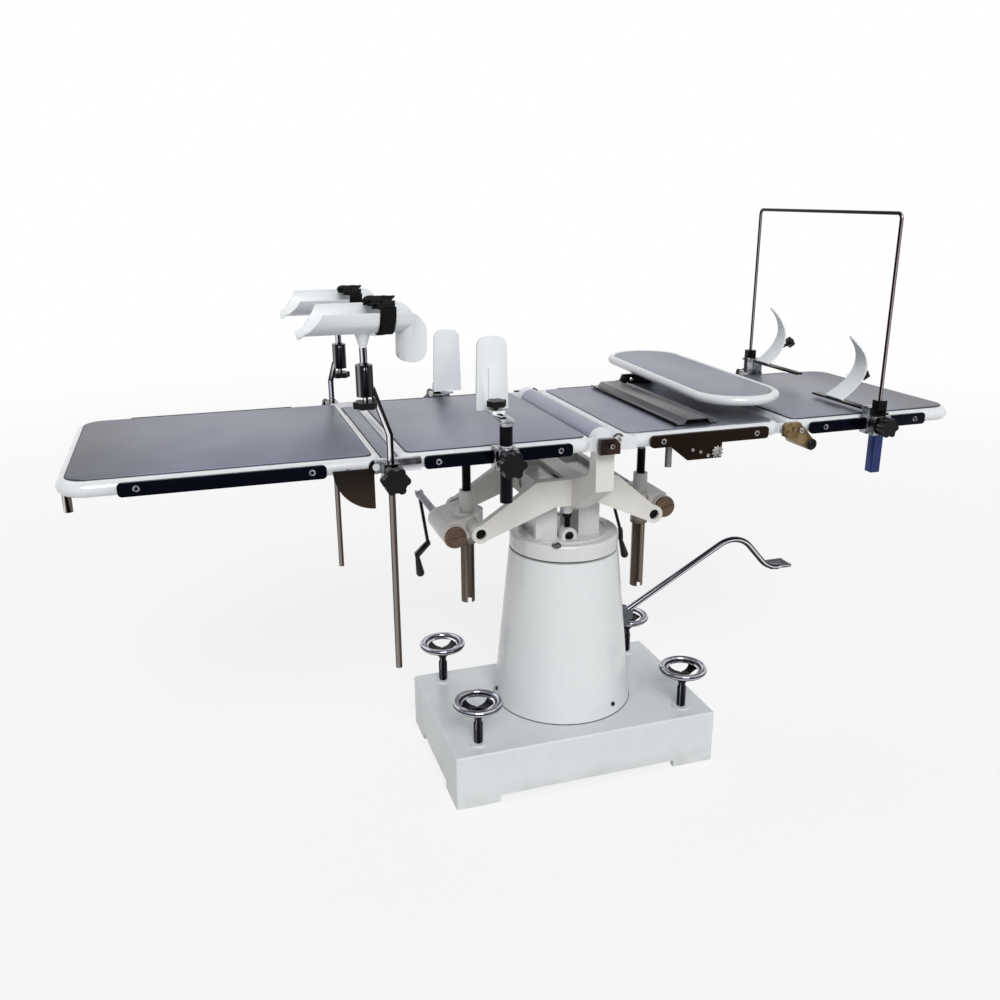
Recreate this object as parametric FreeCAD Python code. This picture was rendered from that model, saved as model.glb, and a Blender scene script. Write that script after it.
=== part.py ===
# Hydraulic operating table: plinth, column, tilting saddle, hinged top sections and rail fittings.
# Millimetres. +X towards the head end, +Y towards the far side, +Z up, origin on the floor under the column.
import FreeCAD, Part
import math
import os
from FreeCAD import Placement, Rotation, Vector

# General fits
gap = 0.3
run = 0.05
screw_play = 0.1

# Plinth with four levelling feet
base_long = 649
base_wide = 409
base_high = 132
base_x = -12
base_y = -14
base_wall = 14
corner_foot_long = 105
corner_foot_wide = 95
notch_high = 18
corner_r = 6
wheel_x = 258
wheel_y = 156
guide_r = 26
foot_r = 18
foot_lift = 2
foot_top = 84
stem_r = 7
stem_bottom = 32

# Handwheels
rim_z = 236
rim_outer_r = 57.5
rim_tube_r = 8
hub_r = 13
hub_drop = 20
spoke_count = 3
spoke_r = 4

# Column, its cover and the hydraulic lift
cover_bottom_r = 169
cover_top_r = 131
cover_top_z = 523
cover_wall = 4
cover_lip_r = 100
cover_ring_high = 34
cover_ring_wall = 8
cover_screw_count = 3
cover_screw_turn = 56
cover_screw_z = 160
cover_screw_r = 3
cylinder_r = 70
ram_r = 55
cylinder_top_z = 500
cylinder_foot = 16
ram_bottom_z = 152
bush_high = 30
bush_wall = 8
cap_r = 130
cap_gap = 6
cap_top_z = 566
cap_plate = 14
cap_skirt = 5
cap_ring_r = 108
cap_ring_wide = 8
cap_ring_high = 3

# Foot pedal and pump
pedal_z = 321
pedal_out = 16
pedal_rod_r = 7.5
pedal_end_x = 588
pedal_crest_x = 480
pedal_crest_z = 500
pedal_bend_r = 70
pedal_plate_long = 58
pedal_plate_wide = 50
pedal_plate_y = 18
pedal_plate_thick = 6
pedal_plate_z = 386
pedal_pin_r = 6
pedal_hub_r = 13
bracket_wall = 6
plunger_r = 8
pump_x = 112
pump_wide = 52
pump_top_z = 285

# Column head: tilt ears, axle and tilt strut
ear_mid_x = -14
ear_inner_half = 27
ear_thick = 52
ear_deep = 118
ear_groove = 6
tilt_z = 690
tilt_axle_r = 12
ear_over = 20
strut_y = -62
strut_x = -17
strut_half = 12
strut_screw_r = 7
strut_stem_z = 617
strut_top_z = 690
eye_r = 19
eye_z = 574
eye_deep = 30

# Saddle casting
arm_y = 95
arm_thick = 18
saddle_wall = 14
saddle_top_z = 721
saddle_bottom_z = 660
arm_tip_r = 21
post_wide = 41
post_thick = 30
post_inner_y = 214

# Top sections: a frame of bent tube in each
table_top = 850
table_half = 260
tube_r = 15
leg_end_x = -1044
leg_hinge_x = -494
seat_end_x = -431
hinge_x = -8
hinge_half = 45
head_hinge_x = 415
head_hinge_half = 22
head_end_x = 862
end_corner_r = 42
inner_corner_r = 16
panel_thick = 2.5
panel_over = -3
link_panel_drop = 5
cross_bar_wide = 40
cross_bar_thick = 5
cross_bar_low = 12

# Hinges
main_pin_r = 8
main_boss_r = 27
main_ear_r = 14
main_ear_thick = 7
head_pin_r = 6
head_ear_r = 11
leg_stub_r = 7
leg_ear_thick = 6
block_thick = 12

# Side rails
rail_high = 26
rail_thick = 8
rail_gap = 6
rail_spacer_r = 5
rail_round = 8
leg_rail = (-953, -587)
seat_rail = (-400, -93)
back_rail = (81, 361)
head_rail = (467, 772)
rail_spacer_inset = 16
clamp_lip = 7
clamp_front = 10
clamp_over = 8

# Jacks under the seat and the back
jack_screw_r = 10.5
jack_bore_play = 0.3
jack_pivot_z = 800
jack_drum_r = 37
jack_drum_half = 25
jack_boss_r = 17
jack_boss_top = 686
jack_tube_r = 16
jack_tube_wall = 2.5
worm_drum_r = 27
worm_front_y = -60
worm_back_y = 84
worm_shaft_r = 9
worm_disc_r = 25
worm_disc_thick = 6
crank_pivot_y = 286
trunnion_r = 12
trunnion_recess = 8
window_r = 28
window_rim = 4
pivot_ear_thick = 8
pivot_ear_gap = 12
pivot_pin_r = 6
crank_rod_r = 4.5
crank_grip_r = 11
left_trunnion = (-240, 615)
left_screw_x = -240
left_worm = (-285, 597)
left_tube_bottom = 413
left_screw_low = 480
left_crank_lean = 8
left_crank_throw = 34
left_crank_rod = 140
right_trunnion = (180, 616)
right_screw_x = 197
right_worm = (232, 614)
right_tube_bottom = 395
right_screw_low = 447
right_crank_lean = 16.5
right_crank_throw = 6
right_crank_rod = 190

# Kidney bridge and its crank spindle
bridge_x = 212
bridge_half_long = 228
bridge_post_x = 216
bridge_half_wide = 51
bridge_hat_half = 24
bridge_rise = 10
bridge_plate = 2.5
bridge_clear = 1.5
bridge_post_r = 8
bridge_post_y = 100
bridge_post_bottom = 725
sleeve_wall = 5
sleeve_low = 790
spindle_r = 5
pinion_r = 12
pinion_wide = 14
spindle_z = 803
gear_plate_left = 122
gear_plate_low = 789
gear_plate_slope = 46
gear_plate_right = 248

# Leg quadrants and leg holders
quadrant_r = 82
quadrant_thick = 4
peg_r = 8
peg_inset = 30
peg_in = 2
peg_bottom = 788
holder_y = 293
holder_pole_r = 6.5
holder_socket_high = 46
holder_socket_half = 15
holder_knob_r = 27
holder_pole_bottom = 422
barrel_r = 16
barrel_high = 58
neck_r = 7
near_holder_x = -470
near_bend_z = 902
near_barrel_x = -512
near_barrel_z = 977
far_holder_x = -492
far_bend_z = 900
far_barrel_x = -468
far_barrel_z = 930
pad_r = 52
pad_wall = 5
pad_lip = 7
near_pad_left = 104
far_pad_left = 119
pad_back = 62
pad_tail = 48
pad_cut = 36
pad_flare = 6
ball_drop = 6
ball_pin_r = 3
near_neck = 61
far_neck = 76
near_roll = -5
far_roll = 9
strap_wide = 29
strap_thick = 3
strap_in = 24
strap_rise = 17

# Side supports on the seat rails
near_support_x = -241
far_support_x = -227
support_post_r = 13
support_post_y = 290
support_post_low = 745
near_arm_z = 908
far_arm_z = 870
support_arm_wide = 26
support_arm_thick = 6
paddle_y = 196
paddle_wide = 60
paddle_spread = 4
paddle_tall = 146
paddle_thick = 8

# Head clamps, anaesthesia screen and shoulder supports
near_clamp_x = 628
far_clamp_x = 664
clamp_post_half = 11
clamp_post_y = 290
clamp_post_low = 727
near_bar_z = 860
far_bar_z = 884
clamp_post_over = 30
screen_top_z = 1284
screen_rod_r = 4
screen_bend_r = 12
shoulder_bar_wide = 18
shoulder_bar_thick = 5
shoulder_bar_in = 60
near_shoulder_y = 140
far_shoulder_y = 214
clamp_knob_r = 22
shoulder_half_wide = 30
shoulder_high = 145
shoulder_sag = 50
shoulder_tip = 24
shoulder_thick = 6

# Arm board on the far back rail
board_z = 898
board_mid_x = 382
board_mid_y = 141
board_turn = -2.8
board_long = 661
board_wide = 174
board_rim_r = 11
board_panel_thick = 8
board_pivot_x = 342
board_pivot_y = 297
board_hub_r = 24
board_bracket_x = 257
board_bracket_long = 91

# Worked out from the sizes above
tube_z = table_top - tube_r
tube_y = table_half - tube_r
panel_low = table_top
panel_top = panel_low + panel_thick
link_top = table_top - link_panel_drop
link_low = link_top - panel_thick
rail_inner = table_half + rail_gap
rail_outer = rail_inner + rail_thick
rail_low = tube_z - rail_high / 2
rail_up = tube_z + rail_high / 2
post_outer_y = post_inner_y + post_thick
seat_ear_y = post_outer_y + 2 * gap
back_ear_y = seat_ear_y + main_ear_thick + 2 * gap
block_y = table_half + 2 * gap
cap_bottom_z = cover_top_z + cap_gap
ear_left = (ear_mid_x - ear_inner_half - ear_thick, ear_mid_x - ear_inner_half)
ear_right = (ear_mid_x + ear_inner_half, ear_mid_x + ear_inner_half + ear_thick)
saddle_x0 = ear_left[0] - 4 - saddle_wall
saddle_x1 = ear_right[1] + 4 + saddle_wall
leg_ear_y = table_half + 2 * gap
quadrant_y = leg_ear_y + leg_ear_thick + 2 * gap
holder_plate_y = quadrant_y + quadrant_thick + 3 * gap


def box(x0, x1, y0, y1, z0, z1):
    return Part.makeBox(x1 - x0, y1 - y0, z1 - z0, Vector(x0, y0, z0))


def rod(a, b, r, r_end=None):
    a, b = Vector(*a), Vector(*b)
    along = b - a
    if r_end is None or abs(r_end - r) < 1e-6:
        return Part.makeCylinder(r, along.Length, a, along)
    return Part.makeCone(r, r_end, along.Length, a, along)


def pipe(a, b, r, bore):
    return rod(a, b, r).cut(rod(a, b, bore))


def join(*pieces):
    return pieces[0].multiFuse(list(pieces[1:])).removeSplitter()


def mirror_y(shape):
    return shape.mirror(Vector(0, 0, 0), Vector(0, 1, 0))


def both_sides(shape):
    return [shape, mirror_y(shape)]


def slab_xz(points, y0, y1):
    # A plate standing along Y, cut to an outline of x, z points
    wire = Part.makePolygon([Vector(x, y0, z) for x, z in points + points[:1]])
    return Part.Face(wire).extrude(Vector(0, y1 - y0, 0))


def slab_yz(points, x0, x1):
    wire = Part.makePolygon([Vector(x0, y, z) for y, z in points + points[:1]])
    return Part.Face(wire).extrude(Vector(x1 - x0, 0, 0))


def sheet(x0, x1, half, z0, z1, r0, r1):
    # A flat sheet with corner radius r0 at its x0 end and r1 at its x1 end
    plate = box(x0, x1, -half, half, z0, z1)
    for x, r, way in ((x0, r0, 1), (x1, r1, -1)):
        if r <= 0:
            continue
        for side in (-1, 1):
            cx, cy = x + way * r, side * (half - r)
            corner = box(min(x, cx), max(x, cx), min(cy, side * half), max(cy, side * half), z0, z1)
            plate = plate.cut(corner.cut(rod((cx, cy, z0), (cx, cy, z1), r)))
    return plate


def bend(centre, radius, start, sweep, r):
    # A bent length of round bar about a vertical axis
    a = math.radians(start)
    at = Vector(centre[0] + radius * math.cos(a), centre[1] + radius * math.sin(a), centre[2])
    ring = Part.makeCircle(r, at, Vector(-math.sin(a), math.cos(a), 0))
    return Part.Face(Part.Wire(ring)).revolve(Vector(*centre), Vector(0, 0, 1), sweep)


def bent_rod(points, bend_r, r):
    # Round bar along a line of points, bent to the same radius at each corner
    points = [Vector(*p) for p in points]
    pieces = []
    start = points[0]
    for before, corner, after in zip(points, points[1:], points[2:]):
        u = (corner - before).normalize()
        v = (after - corner).normalize()
        turn = u.getAngle(v)
        reach = bend_r * math.tan(turn / 2)
        end = corner - u * reach
        pieces.append(rod(start, end, r))
        axis = u.cross(v).normalize()
        centre = end + axis.cross(u) * bend_r
        face = Part.Face(Part.Wire(Part.makeCircle(r, end, u)))
        pieces.append(face.revolve(centre, axis, math.degrees(turn)))
        start = corner + v * reach
    pieces.append(rod(start, points[-1], r))
    return join(*pieces)


def tube_frame(x0, x1, r0, r1):
    z = tube_z
    parts = [rod((x0 + r0, s * tube_y, z), (x1 - r1, s * tube_y, z), tube_r) for s in (-1, 1)]
    for x, r in ((x0, r0), (x1, r1)):
        parts.append(rod((x, -(tube_y - r), z), (x, tube_y - r, z), tube_r))
    parts.append(bend((x0 + r0, tube_y - r0, z), r0, 90, 90, tube_r))
    parts.append(bend((x0 + r0, r0 - tube_y, z), r0, 180, 90, tube_r))
    parts.append(bend((x1 - r1, r1 - tube_y, z), r1, 270, 90, tube_r))
    parts.append(bend((x1 - r1, tube_y - r1, z), r1, 0, 90, tube_r))
    return [join(*parts)]


def rail_spacers(rail):
    ends = [rail[0] + rail_spacer_inset, rail[1] - rail_spacer_inset]
    return [rod((x, s * tube_y, tube_z), (x, s * rail_inner, tube_z), rail_spacer_r)
            for x in ends for s in (-1, 1)]


def cross_bar(x, wide=cross_bar_wide):
    end = tube_y - tube_r / 3
    return box(x - wide / 2, x + wide / 2, -end, end, panel_low - cross_bar_thick, panel_low)


def panel(x0, x1, r0, r1):
    over = panel_over
    return sheet(x0 - over, x1 + over, tube_y + over, panel_low, panel_top, r0 + over, r1 + over)


def rail_bar(rail):
    bar = box(rail[0], rail[1], rail_inner, rail_outer, rail_low, rail_up)
    upright = [e for e in bar.Edges if abs(e.Vertexes[0].Y - e.Vertexes[-1].Y) > rail_thick / 2]
    return bar.makeFillet(rail_round, upright)


def rail_clamp(x, wide):
    # A block hooked over the far rail, open towards the tube
    inner = table_half + 4 * gap
    block = box(x - wide / 2, x + wide / 2, inner, rail_outer + clamp_front,
                rail_low - clamp_over, rail_up + clamp_over)
    channel = box(x - wide, x + wide, rail_inner - gap, rail_outer + gap, rail_low - gap, rail_up + gap)
    mouth = box(x - wide, x + wide, inner - 1, rail_inner, rail_low + clamp_lip, rail_up - clamp_lip)
    return block.cut(channel).cut(mouth)


def lobed_knob(base, direction, r, thick):
    # A six-lobed clamp knob standing on base, pointing along direction
    lobes = 6
    core = Part.makeCylinder(0.8 * r, thick)
    body = [core]
    for i in range(lobes):
        a = 2 * math.pi * i / lobes
        body.append(Part.makeCylinder(0.3 * r, thick, Vector(0.7 * r * math.cos(a), 0.7 * r * math.sin(a), 0)))
    knob = join(*body)
    knob.Placement = Placement(Vector(*base), Rotation(Vector(0, 0, 1), Vector(*direction)))
    return knob


def save(name, *solids):
    flat = [s for piece in solids for s in piece.Solids]
    shape = flat[0] if len(flat) == 1 else Part.makeCompound(flat)
    shape.exportStep("parts/" + name + ".step")
    print(name, len(flat), "solids", round(sum(s.Volume for s in flat) / 1000.0, 1), "cm3")


os.makedirs("parts", exist_ok=True)


# Plinth: a hollow casting on four corner feet, with a guide for each levelling foot
def base_plinth():
    x, y = base_long / 2, base_wide / 2
    shell = box(base_x - x, base_x + x, base_y - y, base_y + y, 0, base_high)
    upright = [e for e in shell.Edges if abs(e.Vertexes[0].Z - e.Vertexes[-1].Z) > base_high / 2]
    shell = shell.makeFillet(corner_r, upright)
    top = [e for e in shell.Edges if min(v.Z for v in e.Vertexes) > base_high - 0.1]
    shell = shell.makeFillet(base_wall / 3, top)
    in_x, in_y = x - base_wall, y - base_wall
    hollow = box(base_x - in_x, base_x + in_x, base_y - in_y, base_y + in_y, -1, base_high - base_wall)
    shell = shell.cut(hollow)
    notch_x = x - corner_foot_long
    notch_y = y - corner_foot_wide
    shell = shell.cut(box(base_x - notch_x, base_x + notch_x, base_y - y - 1, base_y + y + 1, -1, notch_high))
    shell = shell.cut(box(base_x - x - 1, base_x + x + 1, base_y - notch_y, base_y + notch_y, -1, notch_high))
    ring_r = cover_ring_outer()
    ring = pipe((0, 0, base_high - 1), (0, 0, base_high + cover_ring_high), ring_r, ring_r - cover_ring_wall)
    pieces = [shell, ring]
    for cx, cy in wheel_places():
        pieces.append(rod((cx, cy, 30), (cx, cy, base_high - base_wall / 2), guide_r))
        pieces.append(rod((cx, cy, base_high - 1), (cx, cy, base_high + 5), guide_r - 6))
    body = join(*pieces)
    for cx, cy in wheel_places():
        body = body.cut(rod((cx, cy, 0), (cx, cy, foot_top + 10), foot_r + gap))
        body = body.cut(rod((cx, cy, foot_top), (cx, cy, base_high + 10), stem_r + run))
    for a in screw_angles():
        body = body.cut(cover_screw(a, screw_play))
    return body


def wheel_places():
    return [(base_x + sx * wheel_x, base_y + sy * wheel_y) for sy in (-1, 1) for sx in (-1, 1)]


def cover_radius(z):
    share = (z - base_high) / (cover_top_z - base_high)
    return cover_bottom_r + (cover_top_r - cover_bottom_r) * share


def cover_ring_outer():
    return cover_radius(base_high + cover_ring_high) - cover_wall - 1


def screw_angles():
    return [360.0 * i / cover_screw_count + cover_screw_turn for i in range(cover_screw_count)]


def cover_screw(angle, play=0.0):
    # A pan-head screw from the cover into the ring below it
    a = math.radians(angle)
    out = Vector(math.cos(a), math.sin(a), 0)
    r = cover_radius(cover_screw_z)
    inner = out * (cover_ring_outer() - cover_ring_wall) + Vector(0, 0, cover_screw_z)
    shank = Part.makeCylinder(cover_screw_r + play, r - inner.dot(out) + 1, inner, out)
    head = Part.makeCylinder(2 * cover_screw_r, 3 + play, out * (r + 0.8) + Vector(0, 0, cover_screw_z), out)
    return shank.fuse(head) if play else shank.fuse(head).removeSplitter()


# Column cover: a tapered sheet shell with a slot for the pedal lever
def column_cover():
    height = cover_top_z - base_high
    at = Vector(0, 0, base_high)
    outer = Part.makeCone(cover_bottom_r, cover_top_r, height, at)
    inner = Part.makeCone(cover_bottom_r - cover_wall, cover_top_r - cover_wall, height, at)
    shell = outer.cut(inner)
    rim = pipe((0, 0, cover_top_z - cover_wall), (0, 0, cover_top_z), cover_top_r - 1, cover_lip_r)
    shell = join(shell, rim)
    shell = shell.cut(box(0, cover_bottom_r + 20, -pedal_slot(), pedal_slot(), pedal_z - 34, pedal_z + 26))
    for a in screw_angles():
        shell = shell.cut(cover_screw(a, screw_play))
    return shell


def pedal_slot():
    return pedal_rod_r + 5


# Hydraulic cylinder with a bronze guide bush in its mouth
def hydraulic_cylinder():
    body = pipe((0, 0, base_high), (0, 0, cylinder_top_z), cylinder_r, ram_r + 1)
    foot = pipe((0, 0, base_high), (0, 0, base_high + cylinder_foot), cylinder_r + 24, ram_r + 1)
    seat = rod((0, 0, cylinder_top_z - bush_high), (0, 0, cylinder_top_z), ram_r + bush_wall)
    body = join(body, foot).cut(seat)
    bush = pipe((0, 0, cylinder_top_z - bush_high), (0, 0, cylinder_top_z), ram_r + bush_wall, ram_r + run)
    return [body, bush]


def lift_ram():
    return rod((0, 0, ram_bottom_z), (0, 0, cap_top_z - cap_plate), ram_r)


# Cap of the column with the two tilt ears and the strut's eye
def column_cap():
    disc = rod((0, 0, cap_bottom_z), (0, 0, cap_top_z), cap_r)
    rim = [e for e in disc.Edges if min(v.Z for v in e.Vertexes) > cap_top_z - 0.1]
    disc = disc.makeFillet(6, rim)
    disc = disc.cut(rod((0, 0, cap_bottom_z - 1), (0, 0, cap_top_z - cap_plate), cap_r - cap_skirt))
    pieces = [disc, pipe((0, 0, cap_top_z - 1), (0, 0, cap_top_z + cap_ring_high), cap_ring_r,
                         cap_ring_r - cap_ring_wide)]
    top = tilt_z + ear_over
    for x0, x1 in (ear_left, ear_right):
        ear = box(x0, x1, -ear_deep / 2, ear_deep / 2, cap_top_z - 1, top)
        ear = ear.makeFillet(4, [e for e in ear.Edges if min(v.Z for v in e.Vertexes) > top - 0.1])
        groove = ear_deep / 2 - ear_thick / 3
        for side_x in (x0, x1):
            ear = ear.cut(box(side_x - ear_groove, side_x + ear_groove, -groove, groove - 2,
                              cap_top_z, tilt_z - 2 * tilt_axle_r))
        pieces.append(ear)
    pieces.append(rod((strut_x, strut_y - eye_deep / 2, eye_z), (strut_x, strut_y + eye_deep / 2, eye_z), eye_r))
    pieces.append(box(strut_x - eye_r, strut_x + eye_r, strut_y - eye_deep / 2, strut_y + eye_deep / 2,
                      cap_top_z - 1, eye_z))
    body = join(*pieces)
    axle = rod((saddle_x0, 0, tilt_z), (saddle_x1, 0, tilt_z), tilt_axle_r + run)
    bore = rod((strut_x, strut_y, cap_bottom_z - 20), (strut_x, strut_y, eye_z + 2 * eye_r), strut_screw_r + gap)
    return body.cut(axle).cut(bore)


def tilt_strut():
    screw = rod((strut_x, strut_y, strut_bottom_z()), (strut_x, strut_y, strut_stem_z), strut_screw_r)
    stem = box(strut_x - strut_half, strut_x + strut_half, strut_y - strut_half, strut_y + strut_half,
               strut_stem_z, strut_top_z)
    return join(screw, stem)


def strut_bottom_z():
    return cap_bottom_z - 2


def tilt_axle():
    return rod((saddle_x0 + 2, 0, tilt_z), (saddle_x1 - 2, 0, tilt_z), tilt_axle_r)


# Saddle: an open casting with four arms for the jacks and two posts for the main hinge
def saddle_casting():
    top, low = saddle_top_z, saddle_bottom_z
    y0, y1 = arm_y, arm_y + arm_thick
    lx, lz = left_trunnion
    rx, rz = right_trunnion
    left = [(saddle_x0, top), (lx, lz + arm_tip_r), (lx, lz - arm_tip_r), (saddle_x0 + 45, low)]
    middle = [(saddle_x0, top), (saddle_x0 + 45, low), (saddle_x1 - 45, low), (saddle_x1, top)]
    right = [(saddle_x1, top), (saddle_x1 - 45, low), (rx, rz - arm_tip_r), (rx, rz + arm_tip_r)]
    pieces = []
    for outline in (left, middle, right):
        pieces += both_sides(slab_xz(outline, y0, y1))
    for x, z in (left_trunnion, right_trunnion):
        pieces += both_sides(rod((x, y0, z), (x, y1, z), arm_tip_r))
    for x in (saddle_x0, saddle_x1 - saddle_wall):
        pieces.append(box(x, x + saddle_wall, -y0 - 1, y0 + 1, tilt_z - 26, top))
    pieces.append(box(ear_left[1] + 4, ear_right[0] - 4, -y0 - 1, y0 + 1, top - 10, top))
    post_x = (hinge_x - post_wide / 2, hinge_x + post_wide / 2)
    neck = [(y1 - 4, low - 10), (y1 - 4, top), (post_inner_y - 10, top + 36), (post_inner_y, tube_z - 25),
            (post_inner_y, tube_z), (post_outer_y, tube_z), (post_outer_y, top + 8), (y1 + 20, low + 2)]
    pieces += both_sides(slab_yz(neck, *post_x))
    pieces += both_sides(rod((hinge_x, post_inner_y, tube_z), (hinge_x, post_outer_y, tube_z), main_boss_r))
    body = join(*pieces)
    body = body.cut(rod((saddle_x0 - 5, 0, tilt_z), (saddle_x1 + 5, 0, tilt_z), tilt_axle_r + run))
    for x, z in (left_trunnion, right_trunnion):
        body = body.cut(rod((x, -y1 - 5, z), (x, -y0 + 1, z), trunnion_r + run))
        body = body.cut(rod((x, y0 - 1, z), (x, y1 + 5, z), trunnion_r + run))
    for side in (-1, 1):
        body = body.cut(rod((hinge_x, side * (post_inner_y - 40), tube_z),
                            (hinge_x, side * (post_outer_y + 40), tube_z), main_pin_r + run))
    return body


# Main hinge: a pin and an outer block on each side, fixed to the posts
def hinge_blocks():
    pin = rod((hinge_x, post_inner_y + 2, tube_z), (hinge_x, block_y + 2, tube_z), main_pin_r)
    block = box(hinge_x - 25, hinge_x + 20, block_y, block_y + block_thick, tube_z - 18, tube_z + 15)
    nose = [(hinge_x + 8, tube_z + 16), (hinge_x + 21, tube_z + 16), (hinge_x + 21, tube_z + 2)]
    block = block.cut(slab_xz(nose, block_y - 1, block_y + block_thick + 1))
    bolt = rod((hinge_x, block_y + block_thick - 1, tube_z), (hinge_x, block_y + block_thick + 4, tube_z), 6)
    return both_sides(join(pin, block, bolt))


# Half-round steel cover over the hinge gap, held by the bosses at its ends
def gap_cover():
    r = main_boss_r
    ring = pipe((hinge_x, -post_inner_y, tube_z), (hinge_x, post_inner_y, tube_z), r, r - panel_thick)
    lower = box(hinge_x - r - 1, hinge_x + r + 1, -post_inner_y - 1, post_inner_y + 1, tube_z - r - 1, tube_z)
    return ring.cut(lower)


# Jack: a worm housing on trunnions with its screw tube, screw, worm shaft and folding crank
def jack_housing(trunnion, screw_x, worm, tube_bottom):
    tx, tz = trunnion
    wx, wz = worm
    drum = rod((screw_x, 0, tz - jack_drum_half), (screw_x, 0, tz + jack_drum_half), jack_drum_r)
    boss = rod((screw_x, 0, tz), (screw_x, 0, jack_boss_top), jack_boss_r)
    collar = rod((screw_x, 0, tz - jack_drum_half - 30), (screw_x, 0, tz), jack_tube_r + 5)
    worm_drum = rod((wx, worm_front_y, wz), (wx, worm_back_y, wz), worm_drum_r)
    side = -1 if wx < screw_x else 1
    web = slab_xz([(wx - side * 4, wz - 20), (wx + side * 12, wz + 28), (screw_x, tz + jack_drum_half),
                   (screw_x, tz - jack_drum_half)], worm_front_y + 12, worm_back_y - 10)
    pieces = [drum, boss, collar, worm_drum, web]
    for s in (-1, 1):
        pieces.append(rod((tx, s * 20, tz), (tx, s * (arm_y - 1), tz), trunnion_r + 5))
        pieces.append(rod((tx, s * 20, tz), (tx, s * (arm_y + arm_thick - trunnion_recess), tz), trunnion_r))
    body = join(*pieces)
    bore = jack_screw_r + jack_bore_play
    body = body.cut(rod((screw_x, 0, 300), (screw_x, 0, jack_boss_top + 1), bore))
    body = body.cut(rod((wx, worm_front_y - 1, wz), (wx, worm_back_y + 1, wz), worm_shaft_r + run))
    top = tz - jack_drum_half - 12
    body = body.cut(rod((screw_x, 0, top - 40), (screw_x, 0, top), jack_tube_r))
    tube = pipe((screw_x, 0, tube_bottom), (screw_x, 0, top), jack_tube_r, jack_tube_r - jack_tube_wall)
    notch = box(screw_x - 5, screw_x + 5, -30, 0, tube_bottom - 1, tube_bottom + 14)
    return [body, tube.cut(notch)]


def jack_screw(screw_x, bottom):
    shank = rod((screw_x, 0, bottom), (screw_x, 0, jack_pivot_z), jack_screw_r)
    eye = rod((screw_x, -9, jack_pivot_z), (screw_x, 9, jack_pivot_z), jack_screw_r + 4)
    reach = pivot_ear_gap + pivot_ear_thick + 3
    pin = rod((screw_x, -reach, jack_pivot_z), (screw_x, reach, jack_pivot_z), pivot_pin_r)
    return join(shank, eye, pin)


def jack_ears(screw_x):
    # Two plates under a section, with a round window round the screw's cross pin
    low = jack_pivot_z - window_r - window_rim
    plates = []
    for s in (-1, 1):
        y = sorted((s * pivot_ear_gap, s * (pivot_ear_gap + pivot_ear_thick)))
        half = window_r + window_rim
        plate = box(screw_x - half, screw_x + half, y[0], y[1], low, panel_low)
        plates.append(plate.cut(rod((screw_x, y[0] - 1, jack_pivot_z), (screw_x, y[1] + 1, jack_pivot_z), window_r)))
    return plates


def crank_shaft(worm, lean):
    wx, wz = worm
    disc_y = worm_front_y - 2 * gap
    disc = rod((wx, disc_y - worm_disc_thick, wz), (wx, disc_y, wz), worm_disc_r)
    disc = disc.cut(box(wx - worm_disc_r, wx + worm_disc_r, disc_y - worm_disc_thick - 1,
                        disc_y - worm_disc_thick + 2, wz - 1.5, wz + 1.5))
    shaft = rod((wx, disc_y - 1, wz), (wx, crank_pivot_y - 12, wz), worm_shaft_r)
    fork = box(wx - 9, wx + 9, crank_pivot_y - 14, crank_pivot_y + 7, wz - 7, wz + 7)
    slot = box(wx - 4 - gap, wx + 4 + gap, crank_pivot_y - 9, crank_pivot_y + 8, wz - 8, wz + 8)
    pin = rod((wx - 9, crank_pivot_y, wz), (wx + 9, crank_pivot_y, wz), 2.5)
    body = join(disc, shaft, fork.cut(slot), pin)
    body.rotate(Vector(wx, 0, wz), Vector(0, 1, 0), -lean)
    return body


def crank(worm, lean, throw, long):
    # Hangs from the fork: tongue, rod, offset bar and pear grip
    wx, wz = worm
    y = crank_pivot_y
    tongue = rod((wx - 4, y, wz), (wx + 4, y, wz), 6.5)
    tongue = tongue.fuse(box(wx - 4, wx + 4, y - 5, y + 5, wz - 16, wz))
    tongue = tongue.cut(rod((wx - 10, y, wz), (wx + 10, y, wz), 2.5 + run))
    low = wz - long
    metal = join(tongue, rod((wx, y, wz - 14), (wx, y, low), crank_rod_r))
    gx = wx - throw
    bar = slab_xz([(wx - 6, low + 6), (wx + 6, low + 6), (wx + 6, low - 4), (gx + 6, low - 30),
                   (gx - 6, low - 30), (gx - 6, low - 18)], y - 3, y + 3)
    metal = join(metal, bar, rod((gx, y, low - 22), (gx, y, low - 40), crank_rod_r, 7))
    grip = rod((gx, y, low - 40), (gx, y, low - 76), 7, crank_grip_r)
    grip = join(grip, Part.makeSphere(crank_grip_r, Vector(gx, y, low - 76)))
    for solid in (metal, grip):
        solid.rotate(Vector(wx, 0, wz), Vector(0, 1, 0), -lean)
    return [metal, grip]


# Foot pedal lever, its bracket, the pump and the plunger that it drives
def pedal_pivot_x():
    return cover_radius(pedal_z) + pedal_out


def foot_pedal():
    px = pedal_pivot_x()
    hub = rod((px, -pedal_slot() + 3, pedal_z), (px, pedal_slot() - 3, pedal_z), pedal_hub_r)
    plate_mid = pedal_plate_z + pedal_plate_thick / 2
    lever = bent_rod([(px + 6, 0, pedal_z + 4), (pedal_crest_x, 0, pedal_crest_z),
                      (pedal_end_x - 10, 0, plate_mid), (pedal_end_x + 4, 0, plate_mid)],
                     pedal_bend_r, pedal_rod_r)
    half = pedal_plate_wide / 2
    plate = box(pedal_end_x - 4, pedal_end_x + pedal_plate_long, pedal_plate_y - half, pedal_plate_y + half,
                pedal_plate_z, pedal_plate_z + pedal_plate_thick)
    inner_x = pump_x - 6
    inner = box(inner_x, px, -6, 6, pedal_z - 8, pedal_z + 5)
    body = join(hub, lever, plate, inner)
    return body.cut(rod((px, -40, pedal_z), (px, 40, pedal_z), pedal_pin_r + run))


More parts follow.
